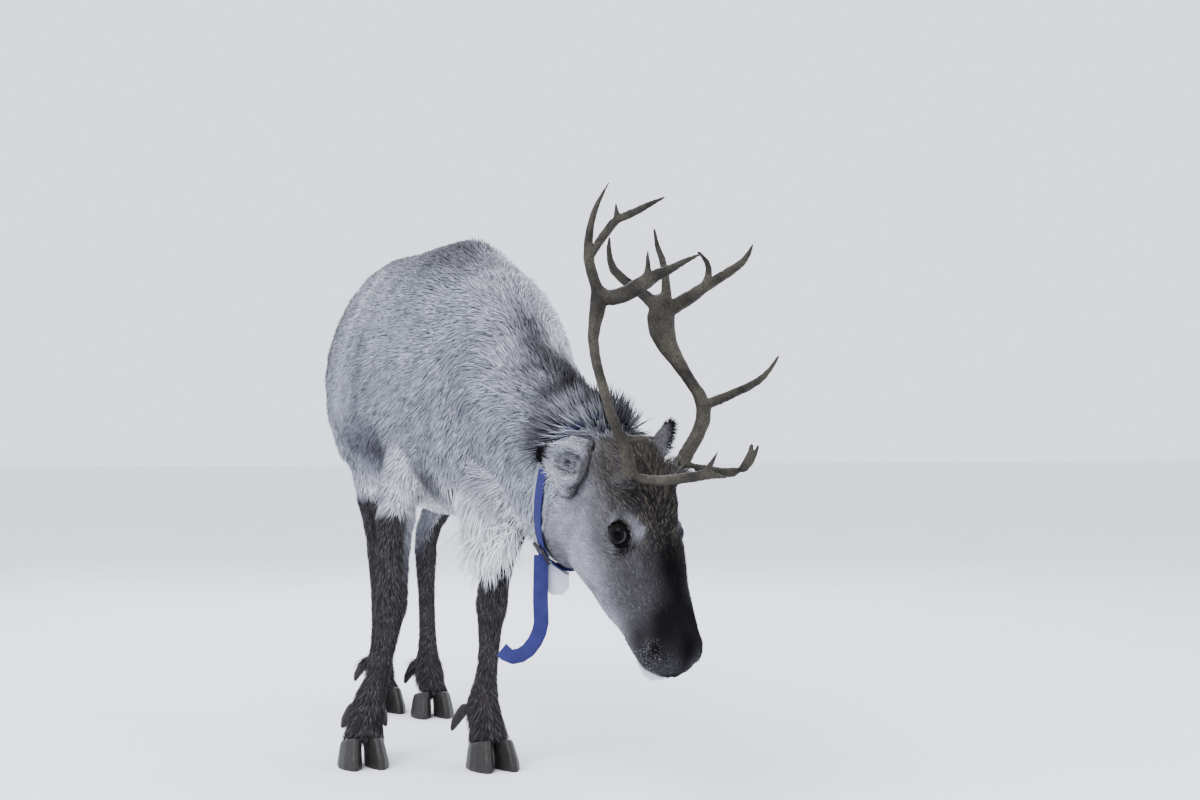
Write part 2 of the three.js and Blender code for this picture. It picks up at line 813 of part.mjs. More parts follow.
// Where the antlers are parted: a plane by its point and axis, a box's width and reach.
// The points are measured from the burr, and the cuts are made in this order.
const ANTLER_CUTS = {
  right: [
    { name: "brow", at: [4, -16, 1], axis: [0.35, -0.93, 0], width: [130, 90], reach: 260 },
    { name: "front", at: [-16, 28, 280], axis: [0.56, -0.8, 0.16], width: [110, 90], reach: 240 },
    { name: "rear", at: [-36, 47, 300], axis: [-0.25, 0, 1], width: [260, 260], reach: 260 },
  ],
  left: [
    { name: "brow", at: [10, -16, -4], axis: [0.4, -0.9, -0.05], width: [130, 90], reach: 260 },
    { name: "outer", at: [56, -3, 99], axis: [0.58, -0.78, 0.25], width: [110, 110], reach: 260 },
    { name: "middle", at: [-1, 65, 280], axis: [-0.06, 0.06, 1], width: [50, 50], reach: 160 },
    { name: "front", at: [16, 46, 256], axis: [0.52, -0.82, 0.25], width: [130, 130], reach: 260 },
    { name: "rear", at: [-23, 72, 262], axis: [-0.75, 0.36, 0.55], width: [110, 110], reach: 260 },
  ],
};

// The flat face of the burr, where the antler meets its pedicle, and the pedicle's root
// in the head's frame.
const BURRS = {
  right: { axis: [-0.1, -0.1, 1], root: [-42, 262, 36] },
  left: { axis: [0.3, 0, 0.95], root: [38, 270, 36] },
};
const BURR_BOX = { width: [60, 60], reach: 60 };
const PEDICLE = { rootRadius: 21, radius: 15, box: [120, 120], reach: 120 };

function antlerSolid(side) {
  const { burr, ...lines } = ANTLERS[side];
  const tubes = Object.entries(lines).map(([name, points]) => {
    const around = name === "beam" ? 9 : 6;
    const along = Math.ceil(1.25 * points.length);
    return solid(horn(points, { around, along }).geometry().translate(...burr));
  });
  return join(tubes);
}

function placeFromBurr(side, offset) {
  return new THREE.Vector3(...ANTLERS[side].burr).add(new THREE.Vector3(...offset));
}

function pedicleTube(side) {
  const burr = placeFromBurr(side, [0, 0, 0]);
  const root = headPoint(...BURRS[side].root);
  const beyond = burr.clone().lerp(root, -0.5);
  const points = [
    [...root.toArray(), PEDICLE.rootRadius],
    [...burr.toArray(), PEDICLE.radius],
    [...beyond.toArray(), PEDICLE.radius],
  ];
  return horn(points, { around: 10, along: 3 }).solid();
}

// Returns the pedicle to join to the head, and the antler above it.
function partAntler(side) {
  const burr = placeFromBurr(side, [0, 0, 0]);
  const down = new THREE.Vector3(...BURRS[side].axis).negate();
  const [pedicle] = takePast(pedicleTube(side), burr, down, PEDICLE.box, PEDICLE.reach);
  const [, antler] = takePast(antlerSolid(side), burr, down, BURR_BOX.width, BURR_BOX.reach);
  return { pedicle, antler };
}

// What it wears: a strap round the neck with a slide buckle, a hanging end and a tag.
const STRAP = { t: 0.75, inside: -6.5, outside: -4, halfWidth: 12.5, sag: 9 };

// The strap hangs away from the throat.
function strapSag(angle) {
  return STRAP.sag * Math.max(0, -Math.sin(angle)) ** 2;
}

function strapBand(inside, outside, halfWidth) {
  const steps = 36;
  const band = new THREE.TorusGeometry(1, 0.1, 4, steps);
  const corners = [
    [outside, halfWidth],
    [inside, halfWidth],
    [inside, -halfWidth],
    [outside, -halfWidth],
  ];
  const { tangent } = neck.frame(STRAP.t);
  for (let corner = 0; corner <= 4; corner++) {
    const [height, along] = corners[corner % 4];
    for (let step = 0; step <= steps; step++) {
      const angle = (2 * Math.PI * (step % steps)) / steps;
      const point = neck.surface(STRAP.t, angle, height + strapSag(angle));
      point.addScaledVector(tangent, along);
      band.attributes.position.setXYZ(corner * (steps + 1) + step, point.x, point.y, point.z);
    }
  }
  return solid(band);
}

// The buckle lies on the strap, low on the right side of the neck.
const BUCKLE = { angle: -0.98, long: 32, wide: 36, thick: 5, rim: 4.5, corner: 3, lift: 1 };

function roundedRectangle(width, height, corner) {
  const [x, y] = [width / 2, height / 2];
  const shape = new THREE.Shape();
  shape.moveTo(-x + corner, -y);
  shape.lineTo(x - corner, -y);
  shape.absarc(x - corner, -y + corner, corner, -Math.PI / 2, 0);
  shape.absarc(x - corner, y - corner, corner, 0, Math.PI / 2);
  shape.absarc(-x + corner, y - corner, corner, Math.PI / 2, Math.PI);
  shape.absarc(-x + corner, -y + corner, corner, Math.PI, 1.5 * Math.PI);
  return shape;
}

function plate(shape, thick) {
  return new THREE.ExtrudeGeometry(shape, { depth: thick, bevelEnabled: false, curveSegments: 3 });
}

// A frame on the strap: X along the neck, Y up along the strap, Z out from the neck.
function onStrap(geometry, lift) {
  const at = neck.surface(STRAP.t, BUCKLE.angle, STRAP.outside + strapSag(BUCKLE.angle) + lift);
  const near = [-0.05, 0.05].map((d) => neck.surface(STRAP.t, BUCKLE.angle + d, STRAP.outside));
  const along = near[0].sub(near[1]).normalize();
  if (along.z < 0) along.negate();
  const across = neck.frame(STRAP.t).tangent.clone();
  const out = new THREE.Vector3().crossVectors(across, along).normalize();
  across.crossVectors(along, out);
  return geometry.applyMatrix4(new THREE.Matrix4().makeBasis(across, along, out).setPosition(at));
}

function buckleSolid() {
  const { long, wide, thick, rim, corner } = BUCKLE;
  const frame = roundedRectangle(wide, long, corner);
  frame.holes.push(roundedRectangle(wide - 2 * rim, long - 2 * rim, corner / 2));
  return solid(onStrap(plate(frame, thick), BUCKLE.lift));
}

function foldSolid() {
  const { long, wide, thick, rim, corner } = BUCKLE;
  const inner = roundedRectangle(wide - 2 * rim - 2 * GAP, long - 2 * rim - 2 * GAP, corner / 2);
  return solid(onStrap(plate(inner, thick - 1), BUCKLE.lift));
}

// The free end of the strap hangs from the buckle, its face towards FACE, and curls to
// the right at its tip. Each station is [to the left, z] from under the buckle.
const STRAP_END = [
  [0, 396],
  [0, 364],
  [0, 331],
  [1, 304],
  [-8, 277],
  [-27, 255],
  [-49, 250],
  [-64, 262],
];
const STRAP_END_FOOT = [-3, -404];
const STRAP_FACE = new THREE.Vector3(-0.309, -0.951, 0);
const STRAP_THICK = 2.5;

function strapEndSolid() {
  const [x, y] = STRAP_END_FOOT;
  const stations = STRAP_END.map(([left, z]) => ({
    at: [x - left * STRAP_FACE.y, y + left * STRAP_FACE.x, z],
    wide: STRAP.halfWidth,
    up: STRAP_THICK / 2,
  }));
  const power = { up: 8, down: 8 };
  return new Loft(stations, { around: 8, along: 12, toward: STRAP_FACE, power }).solid();
}

// The tag hangs under the throat, with its lower corners cut off.
const TAG_SIZE = { wide: 40, high: 52, chamfer: 11, thick: 14 };
const TAG_AT = { at: [30, -388, 350], turn: 18 };

function tagSolid() {
  const { wide, high, chamfer, thick } = TAG_SIZE;
  const outline = new THREE.Shape([
    new THREE.Vector2(-wide / 2, high),
    new THREE.Vector2(-wide / 2, chamfer),
    new THREE.Vector2(-wide / 2 + chamfer, 0),
    new THREE.Vector2(wide / 2 - chamfer, 0),
    new THREE.Vector2(wide / 2, chamfer),
    new THREE.Vector2(wide / 2, high),
  ]);
  const tag = plate(outline, thick).rotateX(Math.PI / 2);
  tag.rotateZ(THREE.MathUtils.degToRad(-TAG_AT.turn)).translate(...TAG_AT.at);
  return solid(tag).subtract(strapBand(-80, STRAP.outside + GAP, STRAP.halfWidth + TAG_SIZE.thick));
}

// The tail hangs behind the rump.
const TAIL = [
  { at: [-2, 756, 822], wide: 24, up: 24 },
  { at: [-2, 812, 834], wide: 27, up: 24 },
  { at: [-2, 852, 810], wide: 30, up: 21 },
  { at: [-3, 868, 764], wide: 33, up: 19 },
  { at: [-3, 870, 712], wide: 30, up: 18 },
  { at: [-3, 862, 666], wide: 17, up: 11 },
];
const TAIL_TOWARD = new THREE.Vector3(0, 1, 1).normalize();
const tail = new Loft(TAIL, { around: 10, along: 8, cap: [0, 16], toward: TAIL_TOWARD });

// Body: everything of flesh joined, then parted by thin cuts.
const antlers = Object.fromEntries(SIDES.map(({ name }) => [name, partAntler(name)]));
const flesh = [trunk.solid(), neck.solid(), maneSolid(), tail.solid(), headSolid()];
for (const { name, sign } of SIDES) {
  flesh.push(shoulder(sign).solid());
  flesh.push(haunch(sign).solid());
  flesh.push(antlers[name].pedicle);
}
for (const leg of LEGS) {
  flesh.push(legSolid(leg));
  for (const { sign } of SIDES) flesh.push(dewClaw(leg, sign));
}
let body = join(flesh);
const groove = strapBand(STRAP.inside - GAP, STRAP.outside + 60, STRAP.halfWidth + GAP);
body = body.subtract(groove);

// Planes that part the body: a point, an axis towards the piece, a box's width and reach.
const CUTS = {
  head: { at: [71, -492, 531], axis: [0.227, -0.658, -0.72], width: [420, 420], reach: 500 },
  neck: { at: [0, -175, 640], axis: [0.06, -0.93, -0.36], width: [640, 720], reach: 700 },
  tail: { at: [-2, 842, 760], axis: [0, 1, 0], width: [160, 300], reach: 120 },
  torso_front: { at: [0, 330, 650], axis: [0, -1, 0], width: [900, 900], reach: 900 },
};
const LEG_BOXES = { fore: [124, 124], hind: [96, 300] };
const LEG_REACH = 560;
const LEG_STATION = 2;
const DEW_BOX = [46, 46];
const DEW_REACH = 70;

function cut(rest, { at, axis, width, reach }) {
  return takePast(rest, new THREE.Vector3(...at), new THREE.Vector3(...axis), width, reach);
}

let piece;
for (const { name } of SIDES) {
  const { point, axis } = earCut(name);
  [piece, body] = takePast(body, point, axis, EAR_CUT.width, EAR_CUT.reach);
  addNode(`ear_${name}`, piece, COAT_FACE);
}
for (const leg of LEGS) {
  const { point, down: fall } = coronetPlane(leg.foot);
  for (const { name, sign } of SIDES) {
    addNode(`hoof_${leg.name}_${name}`, standingClaw(leg.foot, sign), HORN);
    const dew = dewClawCut(leg, sign);
    [piece, body] = takePast(body, dew.point, dew.axis, DEW_BOX, DEW_REACH);
    addNode(`dewclaw_${leg.name}_${name}`, piece, HORN);
  }
  [, body] = takePast(body, point, fall, FOOT_BOX, FOOT_REACH);
  const [x, y, z] = leg.stations[LEG_STATION];
  const top = new THREE.Vector3(x, y, z);
  const down = new THREE.Vector3(...leg.stations.at(-1).slice(0, 3)).sub(top);
  [piece, body] = takePast(body, top, down, LEG_BOXES[leg.kind], LEG_REACH);
  const [lower, upper] = cut(piece, { at: leg.joint, axis: [0, 0, -1], width: [400, 400], reach: LEG_REACH });
  addNode(`${leg.name}_upper`, upper, COAT_LEG);
  addNode(`${leg.name}_lower`, lower, COAT_LEG);
}
const CUT_COATS = { head: COAT_FACE, neck: COAT_PALE, tail: COAT_WHITE, torso_front: COAT_PALE };
for (const [name, place] of Object.entries(CUTS)) {
  [piece, body] = cut(body, place);
  addNode(name, piece, CUT_COATS[name]);
}
addNode("torso_rear", body, COAT_PALE);

for (const { name, sign } of SIDES) {
  addNode(`eye_${name}`, inHead(eyeBall(sign)), EYE);
  let { antler } = antlers[name];
  for (const { name: tine, at, axis, width, reach } of ANTLER_CUTS[name]) {
    [piece, antler] = takePast(antler, placeFromBurr(name, at), new THREE.Vector3(...axis), width, reach);
    addNode(`antler_${name}_${tine}`, piece, ANTLER);
  }
  addNode(`antler_${name}_beam`, antler, ANTLER);
}
addNode("collar_strap", strapBand(STRAP.inside, STRAP.outside, STRAP.halfWidth), WEBBING);
addNode("collar_buckle", buckleSolid(), PLASTIC);
addNode("collar_fold", foldSolid(), WEBBING);
addNode("collar_end", strapEndSolid(), WEBBING);
addNode("collar_tag", tagSolid(), TAG);

// The model's origin is on the floor, under the middle of its box.
const box = new THREE.Box3().setFromObject(nodes);
const middle = box.getCenter(new THREE.Vector3());
nodes.position.set(-middle.x, -middle.y, -FLOOR);

export default nodes;
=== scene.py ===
"""A life-size reindeer in winter coat, standing with its head lowered, in a webbing collar."""
import logging
import math
from dataclasses import dataclass, field, fields
from enum import Enum

import bmesh
import bpy
import numpy as np
from mathutils import Matrix, Vector, kdtree
from mathutils.bvhtree import BVHTree


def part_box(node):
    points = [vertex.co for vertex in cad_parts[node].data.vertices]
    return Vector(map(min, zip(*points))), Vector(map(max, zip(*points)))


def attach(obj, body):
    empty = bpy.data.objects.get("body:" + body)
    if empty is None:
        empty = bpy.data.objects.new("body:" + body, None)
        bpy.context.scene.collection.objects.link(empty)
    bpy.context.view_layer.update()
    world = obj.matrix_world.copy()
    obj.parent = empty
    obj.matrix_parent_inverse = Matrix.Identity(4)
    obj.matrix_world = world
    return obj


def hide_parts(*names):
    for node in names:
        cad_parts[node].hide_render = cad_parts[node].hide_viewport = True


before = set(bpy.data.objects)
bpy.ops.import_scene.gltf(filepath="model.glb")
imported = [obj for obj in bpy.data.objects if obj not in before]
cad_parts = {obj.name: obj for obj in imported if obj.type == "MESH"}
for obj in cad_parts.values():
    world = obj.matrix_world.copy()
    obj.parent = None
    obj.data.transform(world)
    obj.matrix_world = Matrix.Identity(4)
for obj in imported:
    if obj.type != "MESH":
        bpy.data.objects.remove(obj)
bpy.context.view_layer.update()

LOG = logging.getLogger("reindeer")
MM = 0.001
BODY = "root"
Array = np.ndarray

# Places are in millimetres in the design frame, which has its origin under the withers:
# x to the animal's left, y back, z up. The head has a frame of its own: x to its left,
# y back from the nose, z to the brow.
HEAD_NOSE = Vector((132.9, -673.1, 264.3))
HEAD_YAW, HEAD_PITCH, HEAD_ROLL = (math.radians(angle) for angle in (17.9, 62.5, 2.8))
EYE_AT = np.array((49.5, 208.0, 23.0))
EYE_RADIUS = 20.5
HEAD_TURN = (Matrix.Rotation(HEAD_YAW, 3, "Z") @ Matrix.Rotation(HEAD_PITCH, 3, "X")
             @ Matrix.Rotation(HEAD_ROLL, 3, "Y"))
HEAD_AXES = np.array(HEAD_TURN)
SIGNS = {"right": -1.0, "left": 1.0}


def design_shift() -> Array:
    """Place of the design frame's origin in the model's frame, in millimetres."""
    low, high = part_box("eye_right")
    centre = np.add(low, high) / 2 / MM
    return centre - (np.array(HEAD_NOSE) + HEAD_AXES @ (EYE_AT * (-1, 1, 1)))


SHIFT = design_shift()


def to_design(points: Array) -> Array:
    """Points of the model in design millimetres."""
    return points / MM - SHIFT


def from_design(points: Array) -> Array:
    """Design millimetres as points of the model."""
    return (np.asarray(points, float) + SHIFT) * MM


def to_head(points: Array) -> Array:
    """Points of the model in the head's frame, in millimetres."""
    return (to_design(points) - np.array(HEAD_NOSE)) @ HEAD_AXES


def from_head(points: Array) -> Array:
    """Points in the head's frame as points of the model."""
    return from_design(np.asarray(points, float) @ HEAD_AXES.T + np.array(HEAD_NOSE))


def step(low: float, high: float, value: Array) -> Array:
    """Share from 0 at low to 1 at high, with soft ends."""
    share = np.clip((value - low) / (high - low), 0.0, 1.0)
    return share * share * (3.0 - 2.0 * share)


def unit(vectors: Array) -> Array:
    """Vectors brought to length one."""
    return vectors / np.maximum(np.linalg.norm(vectors, axis=-1, keepdims=True), 1e-9)


def mix(a: Array, b: Array, share: Array) -> Array:
    """Rows of a moved towards b by a share for each row."""
    return a + np.asarray(share)[:, None] * (np.asarray(b) - a)


def near_line(points: Array, start: tuple, end: tuple, radius: float) -> Array:
    """Soft share of each point near a line, 1 on it and a third at the radius."""
    a, b = np.array(start, float), np.array(end, float)
    along = b - a
    t = np.clip((points - a) @ along / max(along @ along, 1e-9), 0.0, 1.0)
    gap = points - (a + t[:, None] * along)
    return np.exp(-np.sum(gap * gap, axis=1) / radius**2)


def value_noise(points: Array, scale: float | Array, seed: int) -> Array:
    """Smooth random values from -1 to 1 over space.

    Args:
        points: N points, in millimetres.
        scale: Size of the patches.
        seed: Which random field.

    Returns:
        N values.
    """
    table = np.random.default_rng(seed).uniform(-1.0, 1.0, 4096)
    cell = points / scale
    low = np.floor(cell).astype(np.int64)
    part = cell - low
    part = part * part * (3 - 2 * part)
    total = np.zeros(len(points))
    for corner in range(8):
        offset = np.array([corner & 1, corner >> 1 & 1, corner >> 2 & 1])
        key = (low + offset) @ np.array([73856093, 19349663, 83492791])
        total += np.prod(np.where(offset == 1, part, 1 - part), axis=1) * table[np.abs(key) % 4096]
    return total


class Tone(Enum):
    """Colours of hair and skin, as linear red, green and blue."""

    GREY = (0.37, 0.385, 0.44)
    PALE = (0.68, 0.70, 0.77)
    WHITE = (0.86, 0.88, 0.93)
    SMOKE = (0.085, 0.084, 0.098)
    DARK = (0.022, 0.020, 0.023)
    LEG = (0.050, 0.044, 0.046)
    BLACK = (0.005, 0.0045, 0.0055)
    FACE = (0.125, 0.122, 0.132)
    CHEEK = (0.34, 0.35, 0.40)
    BROWN = (0.034, 0.029, 0.026)
    OCHRE = (0.155, 0.138, 0.108)


@dataclass(frozen=True)
class Marking:
    """A soft patch of colour along a line, on both sides of the body or on one."""

    tone: Tone
    start: tuple
    end: tuple
    radius: float
    strength: float = 1.0
    both: bool = True

    def colour(self, colours: Array, points: Array) -> Array:
        """The colours with this patch laid over them."""
        near = near_line(points, self.start, self.end, self.radius)
        if self.both:
            flip = np.array([-1.0, 1.0, 1.0])
            near = np.maximum(near, near_line(points, flip * self.start, flip * self.end, self.radius))
        return mix(colours, self.tone.value, np.clip(self.strength * near, 0.0, 1.0))


BODY_MARKINGS = (
    Marking(Tone.SMOKE, (-10, -20, 985), (-10, 640, 1005), 100, 0.75),
    Marking(Tone.SMOKE, (-40, -60, 930), (-60, 160, 960), 60, 0.5),
    Marking(Tone.SMOKE, (-100, 690, 910), (-134, 680, 800), 96, 1.0),
    Marking(Tone.DARK, (-108, 680, 890), (-126, 690, 840), 50, 0.5),
    Marking(Tone.PALE, (-100, 430, 880), (-150, 440, 560), 46, 0.85),
    Marking(Tone.SMOKE, (-168, 240, 760), (-176, 190, 600), 40, 0.45),
    Marking(Tone.SMOKE, (-178, 110, 596), (-182, 560, 610), 44, 0.75),
    Marking(Tone.SMOKE, (-178, 110, 590), (-110, -55, 530), 40, 0.95),
    Marking(Tone.DARK, (-118, -50, 545), (-98, -66, 486), 26, 0.85),
    Marking(Tone.PALE, (56, -20, 920), (78, -330, 720), 52, 1.0, False),
    Marking(Tone.SMOKE, (-20, 20, 940), (38, -330, 735), 32, 0.95, False),
    Marking(Tone.DARK, (58, -330, 700), (90, -520, 640), 56, 1.0, False),
    Marking(Tone.DARK, (40, -400, 660), (0, -470, 600), 40, 0.9, False),
    Marking(Tone.WHITE, (-40, -320, 420), (-60, -160, 440), 84, 1.0),
    Marking(Tone.SMOKE, (-75, -330, 500), (-110, -160, 530), 26, 0.45, False),
    Marking(Tone.WHITE, (-128, 10, 560), (-142, -10, 490), 42, 1.0),
    Marking(Tone.WHITE, (0, 820, 780), (0, 800, 620), 90, 0.9),
)

HEAD_MARKINGS = (
    Marking(Tone.CHEEK, (-62, 330, -50), (-50, 200, -104), 64, 1.0),
    Marking(Tone.CHEEK, (-46, 190, -110), (-40, 90, -72), 34, 0.75),
    Marking(Tone.BROWN, (0, 340, 60), (0, 225, 72), 60, 1.0),
    Marking(Tone.DARK, (-56, 300, 40), (-40, 236, 62), 26, 0.8),
    Marking(Tone.DARK, (0, 220, 70), (0, 130, 56), 42, 0.8),
    Marking(Tone.DARK, (-50, 170, 10), (-50, 50, -6), 40, 0.5),
    Marking(Tone.BLACK, (0, 150, 60), (0, 22, 50), 42, 1.0),
    Marking(Tone.BLACK, (-20, 66, 50), (-34, 40, 40), 26, 0.9),
    Marking(Tone.BLACK, (-34, 56, 34), (-42, 14, 16), 28, 0.95),
    Marking(Tone.DARK, (-50, 46, -4), (-44, 2, -16), 24, 0.9),
    Marking(Tone.BLACK, (0, 10, 40), (0, -14, -24), 24, 1.0),
    Marking(Tone.DARK, (-62, 262, -2), (-58, 200, -22), 15, 0.35),
)


@dataclass(frozen=True)
class CoatRegion:
    """Sizes of the hair on one part of the body, in millimetres."""

    nodes: tuple
    depth: float
    rise: float
    length: float
    width: float
    spacing: float


def limb_nodes(part: str) -> tuple:
    """The upper or lower nodes of the four legs."""
    return tuple(f"{limb}_{side}_{part}" for limb in ("foreleg", "hindleg") for side in SIGNS)


REGIONS = {
    "torso": CoatRegion(("torso_front", "torso_rear"), 9, 7.0, 27, 2.5, 4.2),
    "neck": CoatRegion(("neck",), 10, 8.0, 30, 2.4, 4.0),
    "tail": CoatRegion(("tail",), 8, 7.0, 32, 2.6, 4.4),
    "thigh": CoatRegion(limb_nodes("upper"), 5, 4.5, 19, 2.2, 3.7),
    "shank": CoatRegion(limb_nodes("lower"), 3, 3.5, 13, 1.8, 3.1),
    "head": CoatRegion(("head",), 3.5, 3.5, 11, 1.35, 2.35),
}
REGION_NAMES = tuple(REGIONS)
FLESH = tuple(node for region in REGIONS.values() for node in region.nodes)


def column(name: str) -> int:
    """Column of a region in the table of shares."""
    return REGION_NAMES.index(name)


# Meshes: reading, making and smoothing.
def new_object(name: str, mesh: bpy.types.Mesh) -> bpy.types.Object:
    """Links a mesh to the scene as an object at the origin."""
    obj = bpy.data.objects.new(name, mesh)
    bpy.context.scene.collection.objects.link(obj)
    return obj


def mesh_points(mesh: bpy.types.Mesh) -> Array:
    """The vertices of a mesh, N by 3."""
    points = np.empty(len(mesh.vertices) * 3)
    mesh.vertices.foreach_get("co", points)
    return points.reshape(-1, 3)


def set_points(mesh: bpy.types.Mesh, points: Array) -> None:
    """Moves the vertices of a mesh."""
    mesh.vertices.foreach_set("co", np.ascontiguousarray(points, dtype=np.float32).ravel())
    mesh.update()


def mesh_normals(mesh: bpy.types.Mesh) -> Array:
    """The vertex normals of a mesh, N by 3."""
    normals = np.empty(len(mesh.vertices) * 3, dtype=np.float32)
    mesh.vertex_normals.foreach_get("vector", normals)
    return normals.reshape(-1, 3).astype(float)


def mesh_edges(mesh: bpy.types.Mesh) -> Array:
    """The edges of a mesh as pairs of vertices."""
    edges = np.empty(len(mesh.edges) * 2, dtype=np.int32)
    mesh.edges.foreach_get("vertices", edges)
    return edges.reshape(-1, 2)


def averaged(values: Array, edges: Array, rounds: int, share: float | Array = 0.5) -> Array:
    """Values at vertices, smoothed along the edges.

    Args:
        values: One row for each vertex.
        edges: Pairs of vertices.
        rounds: How many times each value moves towards its neighbours' mean.
        share: How far it moves each time, the same for all or one for each vertex.

    Returns:
        The smoothed rows.
    """
    count = len(values)
    flat = values.reshape(count, -1).astype(float)
    degree = np.maximum(np.bincount(edges.ravel(), minlength=count), 1)[:, None]
    move = share if np.isscalar(share) else np.asarray(share)[:, None]
    for _ in range(rounds):
        total = np.empty_like(flat)
        for part in range(flat.shape[1]):
            here = np.bincount(edges[:, 0], flat[edges[:, 1], part], count)
            total[:, part] = here + np.bincount(edges[:, 1], flat[edges[:, 0], part], count)
        flat += move * (total / degree - flat)
    return flat.reshape(values.shape)


def merged_copy(nodes: tuple, swell: float = 0.0) -> bpy.types.Mesh:
    """One mesh with the merged copies of some nodes, each grown along its normals."""
    whole = bmesh.new()
    for node in nodes:
        part = bmesh.new()
        part.from_mesh(bpy.data.objects[node].data)
        bmesh.ops.remove_doubles(part, verts=part.verts, dist=1e-5)
        part.normal_update()
        moves = [(vert, vert.normal * swell) for vert in part.verts]
        for vert, move in moves:
            vert.co += move
        mesh = bpy.data.meshes.new("part")
        part.to_mesh(mesh)
        part.free()
        whole.from_mesh(mesh)
        bpy.data.meshes.remove(mesh)
    mesh = bpy.data.meshes.new("merged")
    whole.to_mesh(mesh)
    whole.free()
    return mesh


def remeshed(mesh: bpy.types.Mesh, voxel: float) -> bpy.types.Mesh:
    """A voxel remesh of a mesh, which is removed."""
    obj = new_object("remesh", mesh)
    modifier = obj.modifiers.new("remesh", "REMESH")
    modifier.mode = "VOXEL"
    modifier.voxel_size = voxel
    graph = bpy.context.evaluated_depsgraph_get()
    result = bpy.data.meshes.new_from_object(obj.evaluated_get(graph))
    bpy.data.objects.remove(obj)
    bpy.data.meshes.remove(mesh)
    return result


def surface_tree(mesh: bpy.types.Mesh) -> BVHTree:
    """A search tree of a mesh's faces."""
    return BVHTree.FromPolygons([vert.co for vert in mesh.vertices],
                                [tuple(face.vertices) for face in mesh.polygons])


def nodes_called(*prefixes: str) -> tuple:
    """The nodes whose names start with one of the prefixes, sorted."""
    return tuple(name for name in sorted(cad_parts) if name.startswith(prefixes))


def nodes_tree(*prefixes: str) -> BVHTree:
    """A search tree of the nodes whose names start with one of the prefixes."""
    return surface_tree(merged_copy(nodes_called(*prefixes)))


def distances(tree: BVHTree, points: Array, reach: float) -> Array:
    """Distance of each point from a tree's faces, at most the reach, in metres."""
    found = (tree.find_nearest(Vector(point), reach)[3] for point in points)
    return np.array([reach if distance is None else distance for distance in found])


def depths_inside(tree: BVHTree, points: Array) -> Array:
    """How far each point lies inside a closed surface, in metres."""
    rows = np.empty(len(points))
    for row, point in enumerate(points):
        near, normal, _, distance = tree.find_nearest(Vector(point))
        rows[row] = distance if (Vector(point) - near).dot(normal) < 0 else -distance
    return rows


def split_faces(mesh: bpy.types.Mesh, chosen: Array) -> None:
    """Divides the edges between chosen vertices in two."""
    work = bmesh.new()
    work.from_mesh(mesh)
    work.verts.ensure_lookup_table()
    edges = [edge for edge in work.edges if chosen[edge.verts[0].index] and chosen[edge.verts[1].index]]
    bmesh.ops.subdivide_edges(work, edges=edges, cuts=1, use_grid_fill=True)
    bmesh.ops.triangulate(work, faces=[face for face in work.faces if len(face.verts) > 4])
    work.to_mesh(mesh)
    work.free()


def paint(mesh: bpy.types.Mesh, colours: Array) -> None:
    """Stores a colour at each vertex, under the name coat."""
    layer = mesh.color_attributes.new("coat", "FLOAT_COLOR", "POINT")
    rows = np.ones((len(colours), 4), dtype=np.float32)
    rows[:, :3] = colours
    layer.data.foreach_set("color", rows.ravel())


# Materials.
class Nodes:
    """A short way to lay out a material's nodes."""

    def __init__(self, name: str) -> None:
        """Makes a material with a Principled shader."""
        self.material = bpy.data.materials.new(name)
        self.material.use_nodes = True
        self.tree = self.material.node_tree
        self.shader = self.tree.nodes["Principled BSDF"]

    def add(self, kind: str, settings: dict | None = None, **inputs: object) -> bpy.types.Node:
        """Adds a node.

        Args:
            kind: The node's type name without its prefix.
            settings: Attributes of the node itself.
            inputs: Values or sockets for its inputs, with underscores for spaces.

        Returns:
            The node.
        """
        node = self.tree.nodes.new("ShaderNode" + kind)
        for key, value in (settings or {}).items():
            setattr(node, key, value)
        for key, value in inputs.items():
            self.put(node, key.replace("_", " "), value)
        return node

    def put(self, node: bpy.types.Node, socket: str | int, value: object) -> None:
        """Sets or links one input of a node."""
        target = node.inputs[socket]
        if isinstance(value, bpy.types.NodeSocket):
            self.tree.links.new(value, target)
        else:
            target.default_value = value

    def shade(self, **inputs: object) -> None:
        """Sets or links inputs of the shader, with underscores for spaces."""
        for key, value in inputs.items():
            self.put(self.shader, key.replace("_", " "), value)

    def noise(self, scale: float, detail: float = 3.0) -> bpy.types.NodeSocket:
        """Noise on the object's own coordinates."""
        place = self.add("TexCoord").outputs["Object"]
        return self.add("TexNoise", Scale=scale, Detail=detail, Vector=place).outputs["Fac"]

    def attribute(self) -> bpy.types.NodeSocket:
        """The colour stored at the vertices."""
        return self.add("Attribute", {"attribute_name": "coat"}).outputs["Color"]

    def ramp(self, factor: bpy.types.NodeSocket, *stops: tuple) -> bpy.types.NodeSocket:
        """A colour ramp with stops of (position, colour)."""
        node = self.add("ValToRGB", Fac=factor)
        elements = node.color_ramp.elements
        while len(elements) < len(stops):
            elements.new(0.5)
        for element, (position, colour) in zip(elements, stops):
            element.position = position
            element.color = (*colour, 1.0)
        return node.outputs["Color"]

    def blend(self, mode: str, factor: object, a: object, b: object) -> bpy.types.NodeSocket:
        """Mixes two colours."""
        node = self.add("Mix", {"data_type": "RGBA", "blend_type": mode})
        for socket, value in ((0, factor), (6, a), (7, b)):
            self.put(node, socket, value)
        return node.outputs[2]

    def bump(self, height: bpy.types.NodeSocket, distance: float, strength: float = 1.0) -> None:
        """Bumps the surface by a height, in metres."""
        node = self.add("Bump", Height=height, Distance=distance, Strength=strength)
        self.shade(Normal=node.outputs["Normal"])


